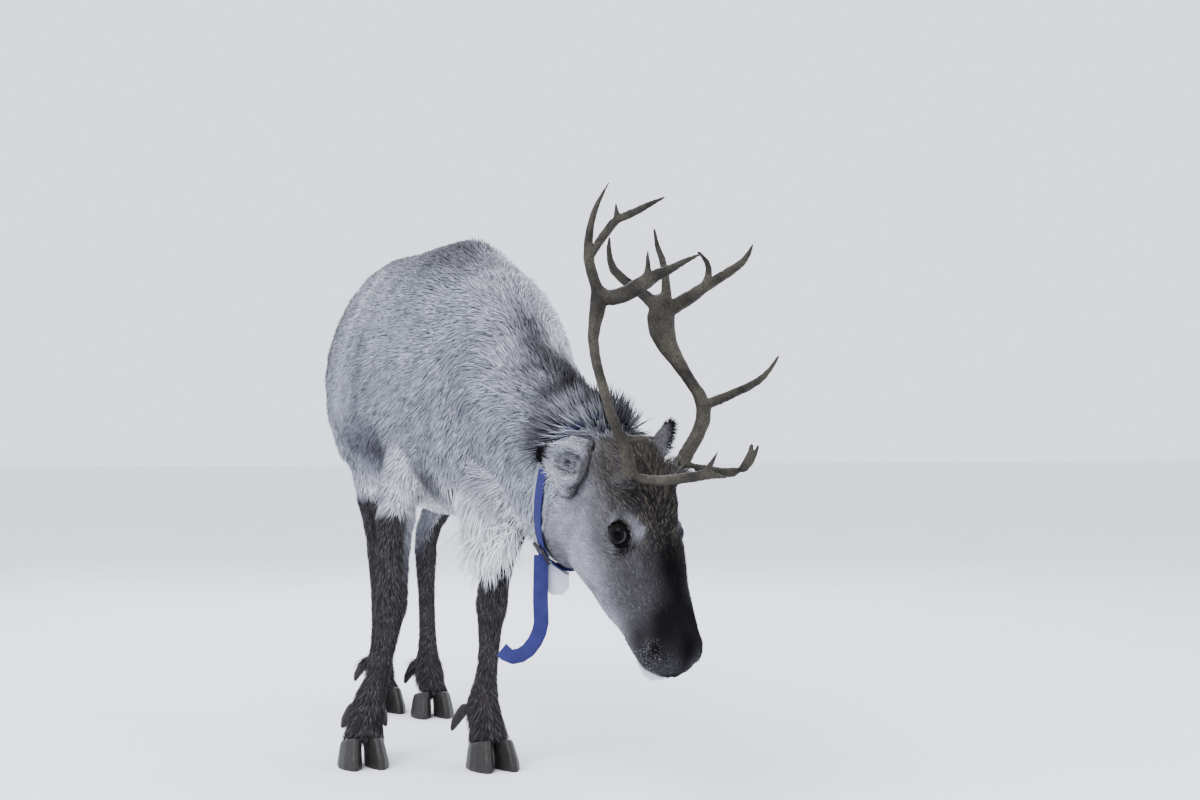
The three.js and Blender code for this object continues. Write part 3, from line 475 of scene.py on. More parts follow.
@dataclass(frozen=True)
class Hair:
    """Hair or haired skin, coloured by its markings."""

    name: str
    fleck: float
    roughness: float = 0.85
    shine: float = 0.04

    def material(self) -> bpy.types.Material:
        """Builds the material."""
        nodes = Nodes(self.name)
        flecks = nodes.ramp(nodes.noise(420.0, 2.0), (0.3, (1 - self.fleck,) * 3), (0.7, (1.0,) * 3))
        nodes.shade(Base_Color=nodes.blend("MULTIPLY", 1.0, nodes.attribute(), flecks),
                    Roughness=self.roughness, Specular_IOR_Level=self.shine)
        nodes.bump(nodes.noise(900.0, 2.0), 0.0006, 0.6)
        return nodes.material


@dataclass(frozen=True)
class Bone:
    """Dry antler: olive brown, furrowed, with darker pores."""

    dark: tuple = (0.011, 0.0095, 0.0075)
    light: tuple = (0.050, 0.045, 0.034)

    def material(self) -> bpy.types.Material:
        """Builds the material."""
        nodes = Nodes("antler")
        broad, fine = nodes.noise(24.0, 5.0), nodes.noise(260.0, 4.0)
        colour = nodes.ramp(broad, (0.34, self.dark), (0.68, self.light))
        pores = nodes.ramp(fine, (0.35, (0.45,) * 3), (0.6, (1.0,) * 3))
        colour = nodes.blend("MULTIPLY", 0.85, colour, pores)
        nodes.shade(Base_Color=nodes.blend("MULTIPLY", 1.0, colour, nodes.attribute()), Roughness=0.6,
                    Specular_IOR_Level=0.15)
        nodes.bump(nodes.blend("ADD", 0.5, broad, fine), 0.0018, 0.9)
        return nodes.material


@dataclass(frozen=True)
class Plain:
    """A finish with a fine mottle and a fine grain."""

    name: str
    colour: tuple
    roughness: float
    mottle: float = 0.25
    scale: float = 90.0
    grain: float = 0.0002

    def material(self) -> bpy.types.Material:
        """Builds the material."""
        nodes = Nodes(self.name)
        dark = tuple(channel * (1 - self.mottle) for channel in self.colour)
        light = tuple(min(channel * (1 + self.mottle), 1.0) for channel in self.colour)
        colour = nodes.ramp(nodes.noise(self.scale, 5.0), (0.3, dark), (0.7, light))
        nodes.shade(Base_Color=colour, Roughness=self.roughness, Specular_IOR_Level=0.25)
        nodes.bump(nodes.noise(self.scale * 12, 3.0), self.grain)
        return nodes.material


@dataclass(frozen=True)
class Webbing:
    """Woven strap: cross ribs and a twill on the strap's own map."""

    light: tuple = (0.050, 0.052, 0.20)
    dark: tuple = (0.012, 0.012, 0.065)

    def material(self) -> bpy.types.Material:
        """Builds the material."""
        nodes = Nodes("webbing")
        vector = nodes.add("UVMap", {"uv_map": "weave"}).outputs["UV"]
        ribs = nodes.add("TexWave", {"bands_direction": "X"}, Scale=1.0, Vector=vector).outputs["Fac"]
        twill = nodes.add("TexWave", {"bands_direction": "DIAGONAL"}, Scale=1.6, Distortion=0.6,
                          Vector=vector).outputs["Fac"]
        weave = nodes.blend("MULTIPLY", 0.6, ribs, twill)
        fade = nodes.ramp(nodes.noise(45.0, 4.0), (0.3, (0.72,) * 3), (0.7, (1.0,) * 3))
        colour = nodes.ramp(weave, (0.05, self.dark), (0.75, self.light))
        nodes.shade(Base_Color=nodes.blend("MULTIPLY", 1.0, colour, fade), Roughness=0.85,
                    Specular_IOR_Level=0.1)
        nodes.bump(weave, 0.0004, 0.9)
        return nodes.material


@dataclass(frozen=True)
class WetEye:
    """A wet eye, coloured by its own rings."""

    def material(self) -> bpy.types.Material:
        """Builds the material."""
        nodes = Nodes("eye")
        streaks = nodes.ramp(nodes.noise(700.0, 3.0), (0.3, (0.6,) * 3), (0.7, (1.0,) * 3))
        nodes.shade(Base_Color=nodes.blend("MULTIPLY", 1.0, nodes.attribute(), streaks), Roughness=0.25,
                    Specular_IOR_Level=0.0, Coat_Weight=0.6, Coat_Roughness=0.03, Coat_IOR=1.14)
        return nodes.material


def finish(obj: bpy.types.Object, material: bpy.types.Material, slot: str, *nodes: str) -> None:
    """Dresses a piece, fixes it to the body and hides the nodes that it replaces.

    Args:
        obj: The piece.
        material: Its material.
        slot: The record's slot; not used.
        nodes: The nodes that it replaces, if any.
    """
    obj.data.materials.clear()
    obj.data.materials.append(material)
    obj.data.polygons.foreach_set("use_smooth", np.ones(len(obj.data.polygons), dtype=bool))
    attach(obj, BODY)
    if nodes:
        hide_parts(*nodes)
    LOG.info("%s: %d faces", obj.name, len(obj.data.polygons))


# Half sizes of the opening between the lids, and the place of the slit on the ball.
LID_LONG = 17.0
LID_HIGH = 14.0
LID_THICK = 2.4
LID_REACH = 1.9
GAZE = (0.8, -0.34, 0.42)
SLIT = (0.10, 0.86, 0.50)


def eye_frame(sign: float) -> tuple[Array, Array, Array, Array]:
    """Centre, gaze, line along the slit and line across it, in the head's frame."""
    flip = np.array([sign, 1.0, 1.0])
    gaze = unit(np.array(GAZE) * flip)
    along = np.array(SLIT) * flip
    along = unit(along - (along @ gaze) * gaze)
    across = np.cross(gaze, along)
    return EYE_AT * flip, gaze, along, across * np.sign(across[2])


def lid_measure(points: Array, sign: float) -> tuple[Array, Array]:
    """How far points lie from the slit between the lids.

    Args:
        points: Points in the head's frame.
        sign: -1 for the right eye, 1 for the left.

    Returns:
        A measure that is 1 on the lids' edge, and the distance from the ball's centre.
    """
    centre, gaze, along, across = eye_frame(sign)
    away = points - centre
    reach = np.linalg.norm(away, axis=1)
    ray = away / np.maximum(reach, 1e-6)[:, None]
    a, b = ray @ along * EYE_RADIUS / LID_LONG, ray @ across * EYE_RADIUS / LID_HIGH
    measure = np.sqrt(np.abs(a) ** 2.2 + np.abs(b) ** 1.8)
    return np.where(ray @ gaze > 0.1, measure, 9.0), reach


def sculpt_eye(points: Array, sign: float) -> Array:
    """Draws the skin over the ball, opens the lids and folds the skin above them."""
    centre, _, along, across = eye_frame(sign)
    measure, reach = lid_measure(points, sign)
    ray = (points - centre) / np.maximum(reach, 1e-6)[:, None]
    hidden = EYE_RADIUS - 3.0
    lid = hidden + (EYE_RADIUS + LID_THICK - hidden) * step(0.94, 1.08, measure)
    settled = step(1.15, LID_REACH, measure)
    target = lid * (1 - settled) + np.maximum(reach, lid) * settled
    target -= 1.6 * np.exp(-((measure - 1.42) / 0.10) ** 2) * step(0.1, 0.7, ray @ across)
    near = (measure < LID_REACH) & (reach < EYE_RADIUS + 24)
    points = np.where(near[:, None], centre + ray * target[:, None], points)
    front = centre - 24 * along - 4 * across
    fold = near_line(points, tuple(front), tuple(front - 16 * along - 6 * across), 4.0)
    return points - unit(points - centre) * (2.2 * fold)[:, None]


NOSTRIL_AT = np.array((43.0, 14.0, 14.0))
MOUTH_BACK = np.array((-14.0, -5.0, 4.0, 20.0, 40.0, 62.0, 68.0))
MOUTH_DOWN = np.array((-26.0, -28.0, -33.0, -40.0, -48.0, -56.0, -58.0))


def mouth_height(head: Array) -> tuple[Array, Array]:
    """Height of places in the head's frame over the line of the mouth, and their share in it."""
    height = head[:, 2] - np.interp(head[:, 1], MOUTH_BACK, MOUTH_DOWN)
    return height, step(76.0, 60.0, head[:, 1])


def sculpt_muzzle(points: Array, normals: Array) -> Array:
    """Sinks the nostrils, draws the line of the mouth and rounds the lips and the chin.

    Args:
        points: Points in the head's frame.
        normals: Their normals in that frame.

    Returns:
        The moved points.
    """
    height, here = mouth_height(points)
    groove = 6.5 * np.exp(-(height / 2.8) ** 2) * here
    lips = 2.4 * (np.exp(-((height - 8) / 5.0) ** 2) + np.exp(-((height + 9) / 6.0) ** 2)) * here
    nose = 3.0 * step(46.0, 20.0, points[:, 1]) * step(-10.0, 14.0, points[:, 2])
    nose -= 2.0 * np.exp(-(points[:, 0] / 4.0) ** 2) * step(14.0, 2.0, points[:, 1])
    points = points + normals * (lips - groove + nose)[:, None]
    for sign in SIGNS.values():
        away = points - NOSTRIL_AT * (sign, 1, 1)
        long, high = away[:, 1] + 0.45 * away[:, 2], away[:, 2] - 0.45 * away[:, 1]
        measure = np.sqrt((long / 11.0) ** 2 + (high / 6.5) ** 2 + (away[:, 0] / 18.0) ** 2)
        pit = 8.0 * np.exp(-(measure / 0.85) ** 4) - 2.4 * np.exp(-((measure - 1.6) / 0.4) ** 2)
        points = points + np.array([-sign * 0.8, 0.55, -0.15]) * pit[:, None]
    return points


# The mane, in the design frame. Stations of its core as y, x and z of the middle, half the
# width and half the height; the throat's lower edge as y and z; and the lowest z it reaches.
MANE_CORE = np.array(((-330, 2, 512, 30, 46), (-280, -24, 502, 32, 66), (-226, -46, 494, 28, 66),
                      (-165, -46, 508, 38, 62), (-110, -28, 534, 46, 60)), float)
THROAT_LOW = np.array(((-340, 426), (-280, 452), (-226, 477), (-165, 500), (-110, 520)), float)
MANE_FLOOR = 340.0


def drop_locks(mesh: bpy.types.Mesh) -> None:
    """Draws the mane's locks back to its core, which the scene's own locks grow from."""
    design = to_design(mesh_points(mesh))
    back = design[:, 1]
    middle, level, wide, down = (np.interp(back, MANE_CORE[:, 0], MANE_CORE[:, part])
                                 for part in (1, 2, 3, 4))
    low = np.interp(back, THROAT_LOW[:, 0], THROAT_LOW[:, 1])
    inside = (back > -350) & (back < -84) & (np.abs(design[:, 0] - middle) < 130)
    hanging = inside & (design[:, 2] < low - 2) & (design[:, 2] > MANE_FLOOR)
    hanging[hanging] = distances(nodes_tree("foreleg"), mesh_points(mesh)[hanging], 0.01) > 0.006
    away = np.stack([design[:, 0] - middle, design[:, 2] - level], axis=1)
    ring = np.hypot(away[:, 0] / wide, away[:, 1] / down)
    pull = np.where(hanging & (ring > 1), 1 / np.maximum(ring, 1e-6), 1.0)
    design[:, 0] = middle + away[:, 0] * pull
    design[:, 2] = level + away[:, 1] * pull
    set_points(mesh, from_design(design))


def mane_share(design: Array) -> Array:
    """How far points belong to the long-haired mane under the throat."""
    low = np.interp(design[:, 1], THROAT_LOW[:, 0], THROAT_LOW[:, 1])
    across = np.interp(design[:, 1], MANE_CORE[:, 0], MANE_CORE[:, 1])
    near = step(low + 34, low + 2, design[:, 2]) * step(-352, -318, design[:, 1])
    near *= step(MANE_FLOOR, MANE_FLOOR + 20, design[:, 2])
    return near * step(-84, -120, design[:, 1]) * step(92, 60, np.abs(design[:, 0] - across))


@dataclass
class Skin:
    """The skin of the whole body, inside the tips of its coat."""

    first_voxel: float = 0.006
    voxel: float = 0.0056
    swell: float = 0.0006
    inset_steps: int = 4
    shares: Array | None = None
    lie: Array | None = None
    strap: BVHTree | None = None
    horn: BVHTree | None = None

    def build(self) -> bpy.types.Object:
        """Makes the skin, with its attributes for the coat.

        Returns:
            The skin's object.
        """
        self.strap = nodes_tree("collar_strap")
        self.horn = nodes_tree("antler", "hoof", "dewclaw")
        mesh = remeshed(merged_copy(FLESH, self.swell), self.first_voxel)
        drop_locks(mesh)
        outer = surface_tree(mesh)
        self.inset(mesh)
        mesh = remeshed(mesh, self.voxel)
        set_points(mesh, averaged(mesh_points(mesh), mesh_edges(mesh), 4, 0.4))
        for rounds in (8, 5):
            self.settle(mesh, outer, rounds)
        self.refine(mesh)
        head = sculpt_muzzle(to_head(mesh_points(mesh)), mesh_normals(mesh) @ HEAD_AXES)
        for sign in SIGNS.values():
            head = sculpt_eye(head, sign)
        set_points(mesh, from_head(head))
        self.shares = self.region_shares(mesh)
        self.lie = self.flow(mesh)
        return new_object("skin", mesh)

    def region_shares(self, mesh: bpy.types.Mesh, rounds: int = 8) -> Array:
        """How far each vertex belongs to each region, with borders softened in rounds."""
        spots = []
        for part, name in enumerate(REGION_NAMES):
            for node in REGIONS[name].nodes:
                data = bpy.data.objects[node].data
                for face in data.polygons:
                    spots.append((face.center.copy(), part))
                    spots.extend(((face.center + data.vertices[v].co) / 2, part) for v in face.vertices)
        tree = kdtree.KDTree(len(spots))
        for index, (spot, _) in enumerate(spots):
            tree.insert(spot, index)
        tree.balance()
        points = mesh_points(mesh)
        shares = np.zeros((len(points), len(REGION_NAMES)))
        for row, point in enumerate(points):
            shares[row, spots[tree.find(point)[1]][1]] = 1.0
        return averaged(shares, mesh_edges(mesh), rounds)

    def depth(self, mesh: bpy.types.Mesh) -> Array:
        """Depth of the skin under the tips of the coat at each vertex, in metres."""
        points = mesh_points(mesh)
        shares = self.region_shares(mesh, 6)
        depth = shares @ np.array([region.depth for region in REGIONS.values()]) * MM
        muzzle = shares[:, column("head")] * step(120.0, 40.0, to_head(points)[:, 1])
        depth *= 1 - 0.45 * muzzle
        depth *= 1 - 0.8 * step(0.020, 0.006, distances(self.horn, points, 0.03))
        strap = step(0.026, 0.016, distances(self.strap, points, 0.03))
        return depth * (1 - strap) + 0.004 * strap

    def inset(self, mesh: bpy.types.Mesh) -> None:
        """Draws the surface in by the depth of the coat, in small steps."""
        depth = self.depth(mesh)[:, None] / self.inset_steps
        edges = mesh_edges(mesh)
        for _ in range(self.inset_steps):
            set_points(mesh, averaged(mesh_points(mesh) - mesh_normals(mesh) * depth, edges, 2, 0.35))

    def settle(self, mesh: bpy.types.Mesh, outer: BVHTree, rounds: int) -> None:
        """Brings the smoothed skin back to its depth under the tips of the coat."""
        points = mesh_points(mesh)
        move = np.clip(depths_inside(outer, points) - self.depth(mesh), -0.012, 0.012)
        move = averaged(move, mesh_edges(mesh), rounds)
        set_points(mesh, points + mesh_normals(mesh) * move[:, None])

    def refine(self, mesh: bpy.types.Mesh) -> None:
        """Makes the mesh finer on the head and round the eyes, nostrils and mouth."""
        head = to_head(mesh_points(mesh))
        split_faces(mesh, (head[:, 1] < 345) & (np.abs(head[:, 0]) < 90) & (np.abs(head[:, 2]) < 190))
        head = to_head(mesh_points(mesh))
        share = 0.4 * step(345.0, 320.0, head[:, 1])
        set_points(mesh, averaged(mesh_points(mesh), mesh_edges(mesh), 2, share))
        head = to_head(mesh_points(mesh))
        sides = head * (0, 1, 1) + np.abs(head) * (1, 0, 0)
        near_eye = np.linalg.norm(sides - EYE_AT, axis=1) < 38
        split_faces(mesh, near_eye | ((head[:, 1] < 74) & (head[:, 2] < 60)))

    def flow(self, mesh: bpy.types.Mesh) -> Array:
        """The way in which the hair lies at each vertex, as unit vectors on the surface."""
        points, normals = mesh_points(mesh), mesh_normals(mesh)
        design, head = to_design(points), to_head(points)
        count = len(points)

        def even(vector: tuple) -> Array:
            """One vector for every vertex."""
            return np.tile(unit(np.array(vector, float)), (count, 1))

        low = step(920.0, 520.0, design[:, 2])
        torso = mix(even((0, 1, -0.12)), even((0, 0.75, -0.75)), low)
        torso = mix(torso, even((0, 0.25, -1)), step(740.0, 830.0, design[:, 1]))
        torso = mix(torso, even((0, 0.35, -1)), step(-60.0, -170.0, design[:, 1]) * low)
        neck = mix(even((-0.14, 0.92, 0.36)), even((-0.1, 0.5, -0.85)), step(0.75, -0.35, normals[:, 2]))
        neck = mix(neck, even((0, 0.25, -1)), mane_share(design))
        face = mix(even((0, 1, 0.1)), even((0, 0.9, -0.42)), step(20.0, -80.0, head[:, 2]))
        brow = step(120, 220, head[:, 1]) * step(20, 60, head[:, 2])
        face = mix(face, unit(np.stack([head[:, 0] * 0.03, np.ones(count), np.zeros(count)], axis=1)), brow)
        for sign in SIGNS.values():
            away = head - eye_frame(sign)[0]
            near = np.exp(-np.sum(away * away, axis=1) / 34.0**2)
            face = face * (1 - near)[:, None] + unit(away) * near[:, None] * 1.2
        limb = even((0, 0.12, -1))
        guides = {"torso": torso, "neck": neck, "tail": limb, "thigh": limb, "shank": limb,
                  "head": face @ HEAD_AXES.T}
        mixed = sum(self.shares[:, [column(name)]] * unit(guide) for name, guide in guides.items())
        mixed = averaged(mixed, mesh_edges(mesh), 14)
        mixed -= np.sum(mixed * normals, axis=1, keepdims=True) * normals
        return unit(mixed)


def coat_colour(points: Array, shares: Array, normals: Array) -> Array:
    """The markings of skin and coat, with painted shade along the mouth's groove and at a fold by each eye.

    Args:
        points: Places on the skin, in the model's frame.
        shares: Their shares in the regions.
        normals: Their normals.

    Returns:
        A colour for each place.
    """
    design, head = to_design(points), to_head(points)
    colour = np.tile(np.array(Tone.GREY.value), (len(points), 1))
    belly = step(560.0, 505.0, design[:, 2]) * step(-0.25, -0.65, normals[:, 2])
    colour = mix(colour, Tone.WHITE.value, belly)
    for mark in BODY_MARKINGS:
        colour = mark.colour(colour, design)
    colour = mix(colour, Tone.WHITE.value, mane_share(design))
    leg = np.clip(1.3 * (shares[:, column("thigh")] + shares[:, column("shank")]), 0, 1)
    inner = step(0.2, 0.75, -np.sign(design[:, 0] + 20) * normals[:, 0]) * step(330.0, 470.0, design[:, 2])
    level = design[:, 2] + 34 * value_noise(design, 34.0, 12) - 40 * normals[:, 1]
    colour = mix(colour, Tone.LEG.value, step(590.0, 500.0, level) * leg * (1 - 0.85 * inner))
    face = np.tile(np.array(Tone.FACE.value), (len(points), 1))
    for mark in HEAD_MARKINGS:
        face = mark.colour(face, head)
    height, front = mouth_height(head)
    chin = step(-3.0, -8.0, height) * step(-34.0, -22.0, height) * front
    face = mix(face, Tone.WHITE.value, chin)
    # Painted shade: a black line along the groove of the mouth.
    face = mix(face, Tone.BLACK.value, np.exp(-((height + 0.5) / 4.0) ** 2) * front)
    for sign in SIGNS.values():
        measure, reach = lid_measure(head, sign)
        close = step(46.0, 34.0, reach)
        around = np.exp(-((measure - 2.1) / 0.35) ** 2) * close
        face = mix(face, Tone.FACE.value, 0.8 * around)
        ring = np.exp(-((measure - 1.50) / 0.20) ** 2) * close
        face = mix(face, Tone.CHEEK.value, ring)
        centre, gaze, along, across = eye_frame(sign)
        corner = centre + 17 * gaze - 14 * along
        tear = near_line(head, tuple(corner), tuple(corner - 20 * along + 6 * across - 4 * gaze), 4.5)
        # Painted shade: the black fold line at the eye's back corner stands for the shade of a skin fold;
        # the lid rims and the tear line are the skin's own black.
        brow = centre + 16 * gaze + 24 * along
        fold = near_line(head, tuple(brow - 14 * across), tuple(brow + 16 * across), 4.0)
        rim = np.maximum(step(1.28, 1.16, measure) * close, np.maximum(0.9 * tear, 0.75 * fold))
        face = mix(face, Tone.BLACK.value, rim)
    return mix(colour, face, np.clip(1.2 * shares[:, column("head")], 0, 1))


# The coat: thousands of thin tapering tufts along the lie of the hair.
@dataclass
class Tufts:
    """Roots and sizes of tufts, one row for each."""

    root: Array
    normal: Array
    lie: Array
    rise: Array
    length: Array
    width: Array
    droop: Array
    colour: Array
    tip: Array
    uv: Array

    def part(self, chosen: Array) -> "Tufts":
        """The chosen tufts alone."""
        return Tufts(*(getattr(self, item.name)[chosen] for item in fields(self)))


CORNERS = ((-0.5, 0.0), (0.5, 0.0), (0.0, 0.38))
SHORT_RINGS = ((0.36, 1.0),)
LONG_RINGS = ((0.2, 0.8), (0.5, 1.0), (0.8, 0.6))
SINK = 2.0 * MM
PATCH = 0.003
PIECE_FACES = 190000


def tuft_faces(rings: int) -> Array:
    """Triangles of a tuft with a pointed root, some rings of three and a pointed tip."""
    faces = [(0, 1 + (k + 1) % 3, 1 + k) for k in range(3)]
    for ring in range(rings - 1):
        low, high = 1 + 3 * ring, 4 + 3 * ring
        for k in range(3):
            after = (k + 1) % 3
            faces.extend([(low + k, low + after, high + after), (low + k, high + after, high + k)])
    last, tip = 3 * rings - 2, 3 * rings + 1
    faces.extend((last + k, last + (k + 1) % 3, tip) for k in range(3))
    return np.array(faces)


def tuft_mesh(name: str, tufts: Tufts, rings: tuple) -> bpy.types.Mesh:
    """One mesh of closed, tapering tufts, with its colours, darkened towards the roots by painted shade,
    and its OFBake map.

    Args:
        name: The mesh's name.
        tufts: Their roots and sizes.
        rings: For each ring, its share of the length and of the width.

    Returns:
        The mesh.
    """
    count, size = len(tufts.root), 3 * len(rings) + 2
    side = np.cross(tufts.lie, tufts.normal)
    levels = [(0.0, 0.0, CORNERS[:1])]
    levels += [(s, wide, CORNERS) for s, wide in rings]
    levels.append((1.0, 0.0, CORNERS[:1]))
    verts, patch = np.empty((count, size, 3)), np.empty((count, size, 2))
    colours = np.empty((count, size, 3))
    down = np.array([0.0, 0.0, -1.0])
    index = 0
    for s, wide, corners in levels:
        rise = tufts.rise * (1 - (1 - s) ** 2) - SINK * (1 - s)
        centre = tufts.root + tufts.normal * rise[:, None] + tufts.lie * (tufts.length * s)[:, None]
        centre = centre + down * (tufts.length * tufts.droop * s * s)[:, None]
        # Painted shade: each tuft darkens to 0.78 of its colour at the root, partly the hair's own dark
        # base and partly the shade deep in the coat; its tip takes its own random tone.
        shade = 0.78 * (1 - s) + tufts.tip * s
        for across, up in corners:
            offset = side * across + tufts.normal * up
            verts[:, index] = centre + offset * (tufts.width * wide)[:, None]
            patch[:, index] = (across * wide * PATCH * 0.8, (s - 0.5) * PATCH * 0.8)
            colours[:, index] = tufts.colour * shade[:, None]
            index += 1
    faces = (np.arange(count)[:, None, None] * size + tuft_faces(len(rings))).reshape(-1, 3)
    mesh = bpy.data.meshes.new(name)
    mesh.vertices.add(count * size)
    mesh.vertices.foreach_set("co", verts.astype(np.float32).ravel())
    mesh.loops.add(faces.size)
    mesh.loops.foreach_set("vertex_index", faces.astype(np.int32).ravel())
    mesh.polygons.add(len(faces))
    mesh.polygons.foreach_set("loop_start", np.arange(0, faces.size, 3, dtype=np.int32))
    mesh.update(calc_edges=True)
    paint(mesh, np.clip(colours, 0.0, 1.0).reshape(-1, 3))
    layer = mesh.uv_layers.new(name="OFBake")
    spots = (tufts.uv[:, None, :] + patch).reshape(-1, 2)[faces.ravel()]
    layer.data.foreach_set("uv", spots.astype(np.float32).ravel())
    return mesh


def make_pieces(name: str, tufts: Tufts, rings: tuple, material: bpy.types.Material, slot: str) -> None:
    """Makes tufts as pieces of a limited size, from front to back."""
    order = np.argsort(tufts.root[:, 1])
    pieces = math.ceil(len(order) * len(tuft_faces(len(rings))) / PIECE_FACES)
    for number, chosen in enumerate(np.array_split(order, pieces), 1):
        mesh = tuft_mesh(name, tufts.part(chosen), rings)
        finish(new_object(f"coat_{name}_{number}", mesh), material, slot)


@dataclass
class Roots:
    """Random places on a mesh's triangles."""

    triangles: Array
    loops: Array
    face: Array
    weights: Array

    @classmethod
    def scatter(cls, mesh: bpy.types.Mesh, spacing: Array, rng: np.random.Generator) -> "Roots":
        """Sets roots over a mesh.

        Args:
            mesh: The mesh.
            spacing: Distance between roots at each vertex, in metres.
            rng: Source of random numbers.

        Returns:
            The roots.
        """
        mesh.calc_loop_triangles()
        triangles = np.empty(len(mesh.loop_triangles) * 3, dtype=np.int32)
        loops = np.empty_like(triangles)
        mesh.loop_triangles.foreach_get("vertices", triangles)
        mesh.loop_triangles.foreach_get("loops", loops)
        triangles, loops = triangles.reshape(-1, 3), loops.reshape(-1, 3)
        corners = mesh_points(mesh)[triangles]
        first, second = corners[:, 1] - corners[:, 0], corners[:, 2] - corners[:, 0]
        area = np.linalg.norm(np.cross(first, second), axis=1) / 2
        wanted = area / spacing[triangles].mean(axis=1) ** 2
        number = np.floor(wanted + rng.random(len(wanted))).astype(int)
        face = np.repeat(np.arange(len(area)), number)
        a, b = rng.random(len(face)), rng.random(len(face))
        flip = a + b > 1
        a[flip], b[flip] = 1 - a[flip], 1 - b[flip]
        return cls(triangles, loops, face, np.stack([1 - a - b, a, b], axis=1))

    def read(self, values: Array) -> Array:
        """Values at the vertices, read at the roots."""
        rows = values[self.triangles[self.face]]
        return np.sum(rows * self.weights.reshape((-1, 3) + (1,) * (rows.ndim - 2)), axis=1)

    def read_map(self, mesh: bpy.types.Mesh) -> Array:
        """The OFBake map, read at the roots."""
        uvs = np.empty(len(mesh.loops) * 2, dtype=np.float32)
        mesh.uv_layers["OFBake"].data.foreach_get("uv", uvs)
        return np.sum(uvs.reshape(-1, 2)[self.loops[self.face]] * self.weights[:, :, None], axis=1)


def turned(lie: Array, normal: Array, angle: Array) -> Array:
    """The lie turned about the normal and laid on the surface again."""
    lie = lie + np.cross(lie, normal) * np.tan(angle)[:, None]
    return unit(lie - np.sum(lie * normal, axis=1, keepdims=True) * normal)


